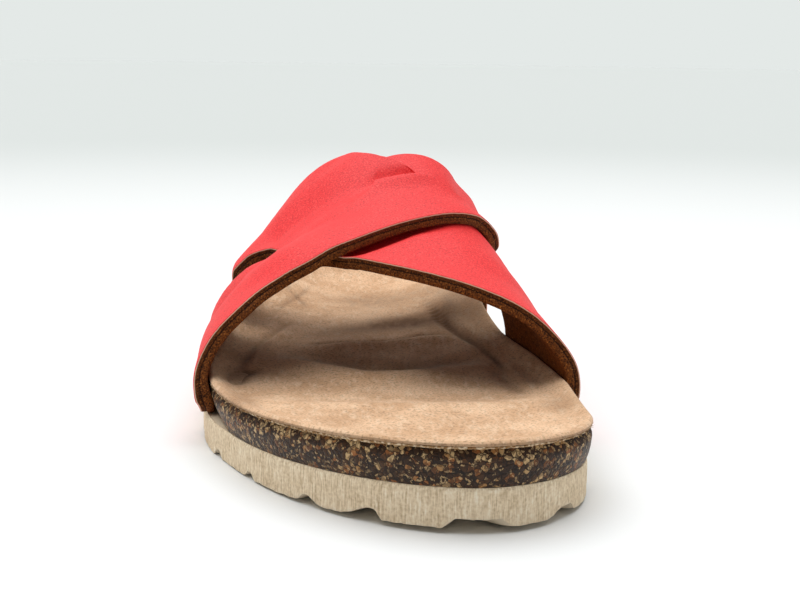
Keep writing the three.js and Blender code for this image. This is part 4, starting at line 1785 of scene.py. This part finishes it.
@dataclass
class Strap(ABC):
    """A leather strap with a felted back, split by one slit."""

    name: str
    form: StrapForm
    cut: StrapCut
    thickness: float = 3.5
    back_drop: float = 0.5
    skive_share: float = 0.7
    skive_length: float = 2.6
    foot_fill: float = 1.2
    foot_fill_length: float = 9.0
    rows_slit: int = 64
    rows_lead: int = 36
    rows_body: int = 110
    across_leg: int = 40
    corner: float = 3.5
    girth: float = 150.0
    crown_shares: tuple[float, float, float, float] = (0.38, 0.44, 0.56, 0.62)
    crown_along: Span = (116.0, 104.0)
    crown_passes: int = 40
    apex_power: float = 1.8
    grain: float = 0.03
    grain_size: float = 1.3
    fuzz: float = 0.10
    fuzz_size: float = 1.0
    edge_fuzz_size: float = 0.8
    edge_fine_size: float = 0.35
    edge_fine_gain: float = 0.6
    fibres_per_mm: float = 3.0
    fibre_span: Span = (0.03, 0.5)
    fibre_lean: float = 0.2
    fibre_layer: float = 0.75
    crease_deg: float = 55.0
    seed: int = 53
    edge_rows: Rows = (
        (0.02, -0.10, 0.0), (0.06, 0.0, 0.0), (0.22, 0.06, 0.2), (0.36, 0.06, 0.4), (0.40, -0.06, 0.4),
        (0.44, 0.12, 0.8), (0.58, 0.28, 1.0), (0.74, 0.36, 1.0), (0.89, 0.34, 1.0), (0.98, 0.18, 1.0),
    )
    face_in: float = 0.32
    back_in: float = 0.2

    @abstractmethod
    def lift(self, share: np.ndarray, along: np.ndarray) -> np.ndarray:
        """Height of the strap's inner face over the form.

        Args:
            share: share of the way over the foot.
            along: distance from the toe.

        Returns:
            Heights.
        """

    def shares(self) -> np.ndarray:
        """Shares of the rows, closer towards the little-toe slit's apex, on which one row lies.

        Returns:
            The shares.
        """
        little = self.cut.slit_side is Side.LITTLE_TOE
        before = self.rows_slit if little else self.rows_lead
        steps = np.linspace(0.0, 1.0, before, endpoint=False)
        if little:
            steps = 1.0 - np.linspace(1.0, 0.0, before, endpoint=False) ** self.apex_power
        lead = blend(self.cut.first, self.cut.apex, steps)
        return np.concatenate([lead, np.linspace(self.cut.apex, self.cut.last, self.rows_body + 1)])

    def from_end(self, share: np.ndarray) -> np.ndarray:
        """Distance from the nearer end of the strap."""
        return np.minimum(share - self.cut.first, self.cut.last - share) * self.girth

    def depth(self, share: np.ndarray) -> np.ndarray:
        """Thickness of the strap, skived at its ends."""
        skived = blend(self.skive_share, 1.0, ease(0.0, self.skive_length, self.from_end(share)))
        return self.thickness * skived + self.fill(share)

    def fill(self, share: np.ndarray) -> np.ndarray:
        """How much thicker the back is at the strap's feet."""
        up = np.minimum(share, 1.0 - share) * self.girth
        return self.foot_fill * (1.0 - ease(0.0, self.foot_fill_length, up))

    def trim(self, share: np.ndarray) -> np.ndarray:
        """How far the front and rear edges draw in to round the corners of the strap's feet.

        Args:
            share: share of the way over the foot.

        Returns:
            Distances.
        """
        near = self.from_end(share)
        gone = np.clip(self.corner - near, 0.0, self.corner)
        return self.corner - np.sqrt(self.corner**2 - gone**2)

    def soften(self, rows: np.ndarray, share: np.ndarray, along: np.ndarray) -> np.ndarray:
        """Eases rows of points into each other over the front of the crown.

        Args:
            rows: points or directions, row after row over the foot.
            share: their shares of the way over the foot.
            along: their distances from the toe.

        Returns:
            The eased rows.
        """
        start, full, fade, end = self.crown_shares
        weight = ease(start, full, share) * ease(end, fade, share) * ease(*self.crown_along, along)
        weight = weight[1:-1, :, None]
        eased = rows.copy()
        for _ in range(self.crown_passes):
            eased[1:-1] += weight * ((eased[:-2] + eased[2:]) / 2 - eased[1:-1])
        return eased

    def build(self) -> bpy.types.Object:
        """Makes the dressed strap.

        Returns:
            The dressed piece.
        """
        shares = self.shares()
        curve = self.cut.curve
        open_rows = self.cut.is_open(shares)
        trim = self.trim(shares)
        front, rear = curve["front"](shares) + trim, curve["rear"](shares) - trim
        front_lip = curve["front_lip"](shares)
        rear_lip = np.where(open_rows, curve["rear_lip"](shares), front_lip)
        step = np.linspace(0.0, 1.0, self.across_leg + 1)
        along = np.concatenate([blend(front[:, None], front_lip[:, None], step),
                                blend(rear_lip[:, None], rear[:, None], step)], axis=1)
        share = np.broadcast_to(shares[:, None], along.shape)
        normal = unit(self.soften(self.form.normal(share, along), share, along))
        rise = self.lift(share, along) - self.back_drop - self.fill(share)
        foot = self.soften(self.form.point(share, along), share, along) + normal * rise[..., None]
        depth = self.depth(share)
        numbers = np.arange(along.size).reshape(along.shape)
        lip = self.across_leg
        numbers[~open_rows, lip + 1] = numbers[~open_rows, lip]
        legs = [numbers[:, :lip + 1], numbers[:, lip + 1:]]
        quads = np.concatenate([
            np.stack([leg[:-1, :-1], leg[1:, :-1], leg[1:, 1:], leg[:-1, 1:]], axis=-1).reshape(-1, 4)
            for leg in legs])
        draft = MeshDraft()
        self.add_faces(draft, foot.reshape(-1, 3), normal.reshape(-1, 3), depth.ravel(), quads)
        finishes = [StrapLeather(), StrapCutEdge(), FeltBacking()]
        made = draft.make(self.name, self.form.shape.shift, finishes, self.crease_deg)
        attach(made, BODY)
        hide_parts("upper")
        return made

    def add_faces(self, draft: MeshDraft, foot: np.ndarray, normal: np.ndarray, depth: np.ndarray,
                  quads: np.ndarray) -> None:
        """Adds the leather face, the felt back and the cut edges between them.

        Args:
            draft: the mesh in the making.
            foot: points of the inner face.
            normal: outward directions there.
            depth: thickness of the strap there.
            quads: faces over those points.
        """
        noise = Noise(self.seed)
        used = np.unique(quads)
        order = np.zeros(len(foot), dtype=int)
        order[used] = np.arange(len(used))
        quads = order[quads]
        back, normal, depth = foot[used], normal[used], depth[used]
        face = back + normal * depth[:, None]
        loops = border_loops(quads)
        outs = [self.outward(face[loop], normal[loop]) for loop in loops]
        face += normal * (self.grain * noise(face, self.grain_size))[:, None]
        for loop, out in zip(loops, outs):
            face[loop] -= out * self.face_in
            back[loop] -= out * self.back_in
        upper = draft.add_points(face, layer=0.0)
        felted = (self.fuzz * noise(back, self.fuzz_size))[:, None]
        lower = draft.add_points(back + normal * felted, layer=1.0)
        draft.add_faces(upper[quads], EdgeLayer.LEATHER.value)
        draft.add_faces(lower[quads[:, ::-1]], EdgeLayer.FELT.value)
        for i, (loop, out) in enumerate(zip(loops, outs)):
            root = back[loop] + out * self.back_in
            self.add_edge(draft, root, normal[loop] * depth[loop, None], out, (upper[loop], lower[loop]), i)

    def add_edge(self, draft: MeshDraft, root: np.ndarray, rise: np.ndarray, out: np.ndarray,
                 ends: tuple[np.ndarray, np.ndarray], seed: int) -> None:
        """Adds the cut edge along one loop.

        Args:
            draft: the mesh in the making.
            root: points of the loop on the inner face.
            rise: ways from there to the outer face.
            out: directions out of the strap's edge.
            ends: point numbers of the loop on the face and on the back.
            seed: number of the loop, for its fibres.
        """
        noise = Noise(self.seed + 1)
        rows = [ends[0]]
        for depth, away, fuzz in self.edge_rows:
            line = root + rise * (1.0 - depth)
            fine = self.edge_fine_gain * noise(line, self.edge_fine_size)
            rough = away + fuzz * self.fuzz * (noise(line, self.edge_fuzz_size) + fine)
            rows.append(draft.add_points(line + out * rough[:, None], layer=depth))
        rows.append(ends[1])
        grid = np.stack(rows)[::-1]
        draft.add_grid(grid, closed=True, finish=EdgeLayer.CUT.value)
        source = np.random.default_rng(self.seed + seed)
        length = np.linalg.norm(np.roll(root, -1, axis=0) - root, axis=1)
        count = int(length.sum() * self.fibres_per_mm)
        pick = source.choice(len(root), count, p=length / length.sum())
        slide = source.uniform(0.0, 1.0, (count, 1))
        after = (pick + 1) % len(root)
        base = blend(root[pick], root[after], slide)
        roots = base + rise[pick] * source.uniform(*self.fibre_span, (count, 1))
        ways = out[pick] + rise[pick] * source.normal(0.0, self.fibre_lean, (count, 1))
        fringe = Fringe(width=0.07, shortest=0.15, longest=0.55, curl=0.5, seed=self.seed + seed)
        fringe.add_to(draft, roots, ways, EdgeLayer.CUT.value, layer=self.fibre_layer)

    @staticmethod
    def outward(line: np.ndarray, normal: np.ndarray) -> np.ndarray:
        """Directions out of the strap along a loop of its edge.

        Args:
            line: points of the loop.
            normal: outward directions of the strap's face there.

        Returns:
            The directions.
        """
        along = unit(np.roll(line, -1, axis=0) - line) + unit(line - np.roll(line, 1, axis=0))
        return unit(np.cross(along, normal))


@dataclass
class OverStrap(Strap):
    """Strap that crosses on top and passes through the other one's slit on the big-toe side."""

    under: StrapCut | None = None
    stack: float = 3.0
    stack_shares: Span = (0.14, 0.36)
    drape_length: float = 16.0
    rear_drop: float = 0.75
    rear_lead: float = 2.0
    rear_shares: Span = (0.5, 0.56)
    dive_shares: Span = (0.66, 0.76)
    dive_along: Span = (122.0, 133.0)
    mouth_lift: float = 0.8
    mouth_length: float = 14.0
    mouth_shares: Span = (0.55, 0.72)
    rear_lip_lift: float = 3.1
    rear_lip_length: float = 20.0
    rear_lip_shares: Span = (0.13, 0.165)
    front_lip_lift: float = 2.3
    front_lip_length: float = 17.0
    front_lip_shares: Span = (0.02, 0.10)
    lip_end: float = 0.19
    flare: float = 1.15
    flare_drop: float = 0.8
    flare_length: float = 10.0
    flare_shares: Span = (0.11, 0.05)
    ridge_front: float = 5.0
    dip_gap: float = 1.2
    ridge_columns: tuple[str, ...] = ("share", "along", "height", "rear", "dip", "dip_width")
    ridge_rows: Rows = (
        (0.25, 112.0, 0.0, 5.0, 0.0, 5.0),
        (0.294, 114.0, 0.4, 6.0, 0.0, 5.0),
        (0.324, 117.0, 0.6, 5.5, 0.1, 5.0),
        (0.381, 119.5, 0.9, 4.5, 0.3, 4.5),
        (0.44, 123.5, 1.3, 2.6, 1.0, 3.8),
        (0.491, 127.2, 1.6, 1.7, 1.6, 3.2),
        (0.532, 131.0, 1.7, 1.3, 1.7, 2.4),
        (0.564, 133.3, 1.4, 1.0, 1.6, 1.5),
        (0.60, 134.0, 0.8, 0.8, 1.0, 0.9),
        (0.66, 134.0, 0.0, 0.8, 0.0, 0.9),
    )

    @cached_property
    def crease(self) -> dict[str, SmoothCurve]:
        """Curves of the ridge."""
        return table(self.ridge_columns, self.ridge_rows)

    def lift(self, share: np.ndarray, along: np.ndarray) -> np.ndarray:
        """Height of the strap's inner face over the form.

        Args:
            share: share of the way over the foot.
            along: distance from the toe.

        Returns:
            Heights.
        """
        under = self.under.curve
        drape = ease(-self.drape_length, 0.0, along - under["front"](share))
        past = ease(-self.rear_lead, self.drape_length, along - under["rear"](share))
        behind = 1.0 - self.rear_drop * past * (1.0 - ease(*self.rear_shares, share))
        dive = 1.0 - ease(*self.dive_shares, share) * ease(*self.dive_along, along)
        from_front = along - self.cut.curve["front"](share)
        open_edge = 1.0 - ease(0.0, self.mouth_length, from_front)
        mouth = self.mouth_lift * ease(*self.mouth_shares, share) * open_edge
        raised = self.stack * drape * behind * dive * ease(*self.stack_shares, share) + mouth * dive
        near_front = 1.0 - ease(0.0, self.flare_length, from_front)
        flare = (self.flare * near_front - self.flare_drop) * ease(*self.flare_shares, share)
        return raised + flare + self.lips(share, along) + self.ridge(share, along)

    def lips(self, share: np.ndarray, along: np.ndarray) -> np.ndarray:
        """Height by which the lips of the slit stand off.

        Args:
            share: share of the way over the foot.
            along: distance from the toe.

        Returns:
            Heights.
        """
        ahead, behind = self.cut.curve["front_lip"](share), self.cut.curve["rear_lip"](share)
        closing = 1.0 - ease(self.lip_end, self.cut.apex, share)
        rear = self.rear_lip_lift * ease(*self.rear_lip_shares, share)
        rear = rear * (1.0 - ease(0.0, self.rear_lip_length, along - behind))
        front = self.front_lip_lift * ease(*self.front_lip_shares, share)
        front = front * (1.0 - ease(0.0, self.front_lip_length, ahead - along))
        return closing * np.where(along > (ahead + behind) / 2, rear, front)

    def ridge(self, share: np.ndarray, along: np.ndarray) -> np.ndarray:
        """Ridge where the strap bends over the lower strap's slit, and the dip behind it.

        Args:
            share: share of the way over the foot.
            along: distance from the toe.

        Returns:
            Heights.
        """
        off = along - self.crease["along"](share)
        width = np.where(off < 0, self.ridge_front, self.crease["rear"](share))
        ridge = self.crease["height"](share) * np.exp(-((off / width) ** 2))
        reach = self.crease["dip_width"](share)
        dip = self.crease["dip"](share) * np.exp(-(((off - self.dip_gap - reach) / reach) ** 2))
        return ridge - dip


@dataclass
class UnderStrap(Strap):
    """Strap that crosses beneath, with its rear leg over the other one's end."""

    over: StrapCut | None = None
    stack: float = 3.0
    stack_shares: Span = (0.70, 0.78)
    stack_fade: Span = (0.88, 0.79)
    stack_along: Span = (129.0, 142.0)
    press_length: float = 5.5
    press_margin: float = 4.0
    press_columns: tuple[str, ...] = ("share", "edge", "inside")
    press_rows: Rows = (
        (0.22, 0.6, 0.6), (0.36, 0.6, 0.9), (0.42, 0.6, 2.4), (0.48, 0.6, 2.5), (0.56, 0.5, 1.6),
        (0.63, 0.0, 0.4), (0.68, 0.0, 0.0), (1.0, 0.0, 0.0),
    )

    @cached_property
    def press(self) -> dict[str, SmoothCurve]:
        """How far the strap lies below its form beneath the other one."""
        return table(self.press_columns, self.press_rows)

    def lift(self, share: np.ndarray, along: np.ndarray) -> np.ndarray:
        """Height of the strap's inner face over the form.

        Args:
            share: share of the way over the foot.
            along: distance from the toe.

        Returns:
            Heights.
        """
        covered = ease(-self.press_length, 0.0, along - self.over.curve["front"](share))
        inside = ease(0.0, self.press_margin, along - self.cut.curve["front"](share))
        pressed = blend(self.press["edge"](share), self.press["inside"](share), inside) * covered
        over_foot = ease(*self.stack_shares, share) * ease(*self.stack_fade, share)
        return self.stack * over_foot * ease(*self.stack_along, along) - pressed


OVER_CUT = StrapCut(
    rows=(
        (0, 70.2, 116.9, 138.5, 160), (0.07, 72.8, 124.1, 137.9, 160), (0.125, 74.3, 127.2, 135.8, 159.5),
        (0.16, 74.5, 124.1, 132.7, 159), (0.2, 74.8, 118.1, 129.1, 158.5), (0.228, 76, 116.8, 126.5, 158),
        (0.245, 77.3, 120.5, 120.5, 157.5), (0.29, 81.8, 121, 121, 156), (0.33, 84.7, 122, 122, 155),
        (0.375, 86.1, 122.5, 122.5, 153.5), (0.413, 89.2, 122.5, 122.5, 151), (0.45, 93.4, 123, 123, 144.8),
        (0.51, 100.9, 121.5, 121.5, 141.1), (0.545, 105.8, 121.5, 121.5, 138.1),
        (0.6, 111.1, 122.5, 122.5, 134.3), (0.65, 115.3, 123, 123, 131.5), (0.7, 119.7, 125.5, 125.5, 132),
        (0.75, 122.7, 128.5, 128.5, 135), (0.805, 127.6, 135.7, 135.7, 142.7),
    ),
    apex=0.245,
    slit_side=Side.LITTLE_TOE,
)

UNDER_CUT = StrapCut(
    rows=(
        (0.22, 105, 116, 116, 126), (0.25, 103, 116.5, 116.5, 126.5), (0.3, 99.5, 119, 119, 128),
        (0.345, 96.3, 121, 123.5, 132.5), (0.416, 90.9, 122, 128.5, 140), (0.48, 84.7, 126, 133, 147),
        (0.53, 79.5, 129.5, 135, 151.5), (0.58, 75.7, 131.5, 135, 154), (0.635, 72.6, 130, 133.5, 155.5),
        (0.69, 70.7, 128.5, 132.5, 157.5), (0.745, 70, 128, 133, 159.5), (0.8, 70.7, 125.5, 141, 163),
        (0.86, 71.5, 124.5, 155, 170.5), (0.93, 71.2, 119.5, 162, 176), (1, 70.2, 115.5, 164.5, 178.5),
    ),
    apex=0.30,
    slit_side=Side.BIG_TOE,
)


@dataclass
class Studio:
    """Pale floor, soft light and the camera at the photograph's angle."""

    shape: FootbedShape
    floor_radius: float = 5000.0
    floor_points: int = 96
    floor_rings: Series = (0.02, 0.1, 1.0)
    floor_height: float = -0.05
    floor_crease_deg: float = 60.0
    horizon: Colour = Colour(228, 233, 231)
    dome: Colour = Colour(150, 152, 152)
    near_side: Colour = Colour(88, 90, 90)
    near_from: float = -0.3
    near_full: float = -0.85
    band_top: float = 0.2
    dome_from: float = 0.5
    sun_spread: float = 76.0
    sun_strength: float = 3.1
    sun_place: Place = (0.0, 0.0, 1.0)
    sun_way: Place = (0.10, -0.22, -1.0)
    camera_place: Place = (-19.83, -422.98, 104.95)
    yaw: float = 3.28
    pitch: float = -10.16
    roll: float = 0.73
    focal_px: float = 1483.0
    frame_px: float = 800.0
    sensor: float = 36.0
    clip: Span = (0.02, 50.0)

    def build(self) -> None:
        """Adds floor, lights and camera."""
        self.add_floor()
        self.add_sky()
        self.add_softbox()
        self.add_camera()
        view = bpy.context.scene.view_settings
        view.view_transform = "Standard"
        view.look = "None"

    def add_floor(self) -> None:
        """Adds the floor."""
        turn = 2 * np.pi * np.arange(self.floor_points) / self.floor_points
        rim = np.stack([np.cos(turn), np.sin(turn), np.zeros_like(turn)], axis=-1) * self.floor_radius
        draft = MeshDraft()
        height = np.array([0.0, 0.0, self.floor_height])
        rows = np.stack([rim * part for part in self.floor_rings]) + height
        numbers = draft.add_points(rows)
        draft.add_grid(numbers[::-1], closed=True)
        draft.add_faces(numbers[:1])
        draft.make("pale_floor", np.zeros(3), [FloorWithPaintedFalloff()], self.floor_crease_deg)

    def add_sky(self) -> None:
        """Adds the even light of a white room, brightest near the horizon."""
        world = bpy.data.worlds.new("white_room")
        world.use_nodes = True
        shader = Shader(world.node_tree)
        way = shader.node("ShaderNodeTexCoord").outputs["Generated"]
        parts = shader.node("ShaderNodeSeparateXYZ", None, {0: way})
        height, depth = Value(shader, parts.outputs["Z"]), Value(shader, parts.outputs["Y"])
        far_side = shader.mix(height.step(self.band_top, self.dome_from), self.horizon, self.dome)
        light = shader.mix(depth.step(self.near_from, self.near_full), far_side, self.near_side)
        glow = shader.node("ShaderNodeBackground", None, {"Color": light, "Strength": 1.0})
        shader.node("ShaderNodeOutputWorld", None, {"Surface": glow.outputs[0]})
        bpy.context.scene.world = world

    def add_softbox(self) -> None:
        """Adds the wide soft light overhead."""
        lamp = bpy.data.lights.new("overhead_light", "SUN")
        lamp.energy = self.sun_strength
        lamp.angle = math.radians(self.sun_spread)
        made = bpy.data.objects.new("overhead_light", lamp)
        made.location = self.sun_place
        made.rotation_euler = Vector(self.sun_way).to_track_quat("-Z", "Y").to_euler()
        bpy.context.scene.collection.objects.link(made)

    def add_camera(self) -> None:
        """Adds the camera."""
        yaw, pitch, roll = (math.radians(angle) for angle in (self.yaw, self.pitch, self.roll))
        ahead = Vector((math.sin(yaw) * math.cos(pitch), math.cos(yaw) * math.cos(pitch), math.sin(pitch)))
        level = ahead.cross(Vector((0.0, 0.0, 1.0))).normalized()
        upright = level.cross(ahead)
        right = level * math.cos(roll) + upright * math.sin(roll)
        above = upright * math.cos(roll) - level * math.sin(roll)
        data = bpy.data.cameras.new("photo_camera")
        data.sensor_width = self.sensor
        data.lens = self.focal_px * self.sensor / self.frame_px
        data.clip_start, data.clip_end = self.clip
        made = bpy.data.objects.new("photo_camera", data)
        turn = Matrix((right, above, -ahead)).transposed().to_4x4()
        place = Vector(self.camera_place) + Vector(self.shape.shift.tolist())
        made.matrix_world = Matrix.Translation(place * MM) @ turn
        bpy.context.scene.collection.objects.link(made)
        bpy.context.scene.camera = made


def write_sizes() -> None:
    """Updates the scene's view layer."""
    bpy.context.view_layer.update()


def main() -> None:
    """Builds the sandal piece by piece and the studio round it."""
    logging.basicConfig(level=logging.INFO, format="%(name)s: %(message)s")
    shape = FootbedShape()
    form = StrapForm(shape)
    pieces = [
        Outsole(shape),
        CorkFootbed(shape),
        JuteBand(shape),
        SuedeLining(shape),
        UnderStrap("under_strap", form, UNDER_CUT, seed=61, over=OVER_CUT),
        OverStrap("over_strap", form, OVER_CUT, under=UNDER_CUT),
    ]
    for piece in pieces:
        made = piece.build()
        LOG.info("%s: %d faces", made.name, len(made.data.polygons))
    Studio(shape).build()
    write_sizes()


if __name__ == "__main__":
    main()
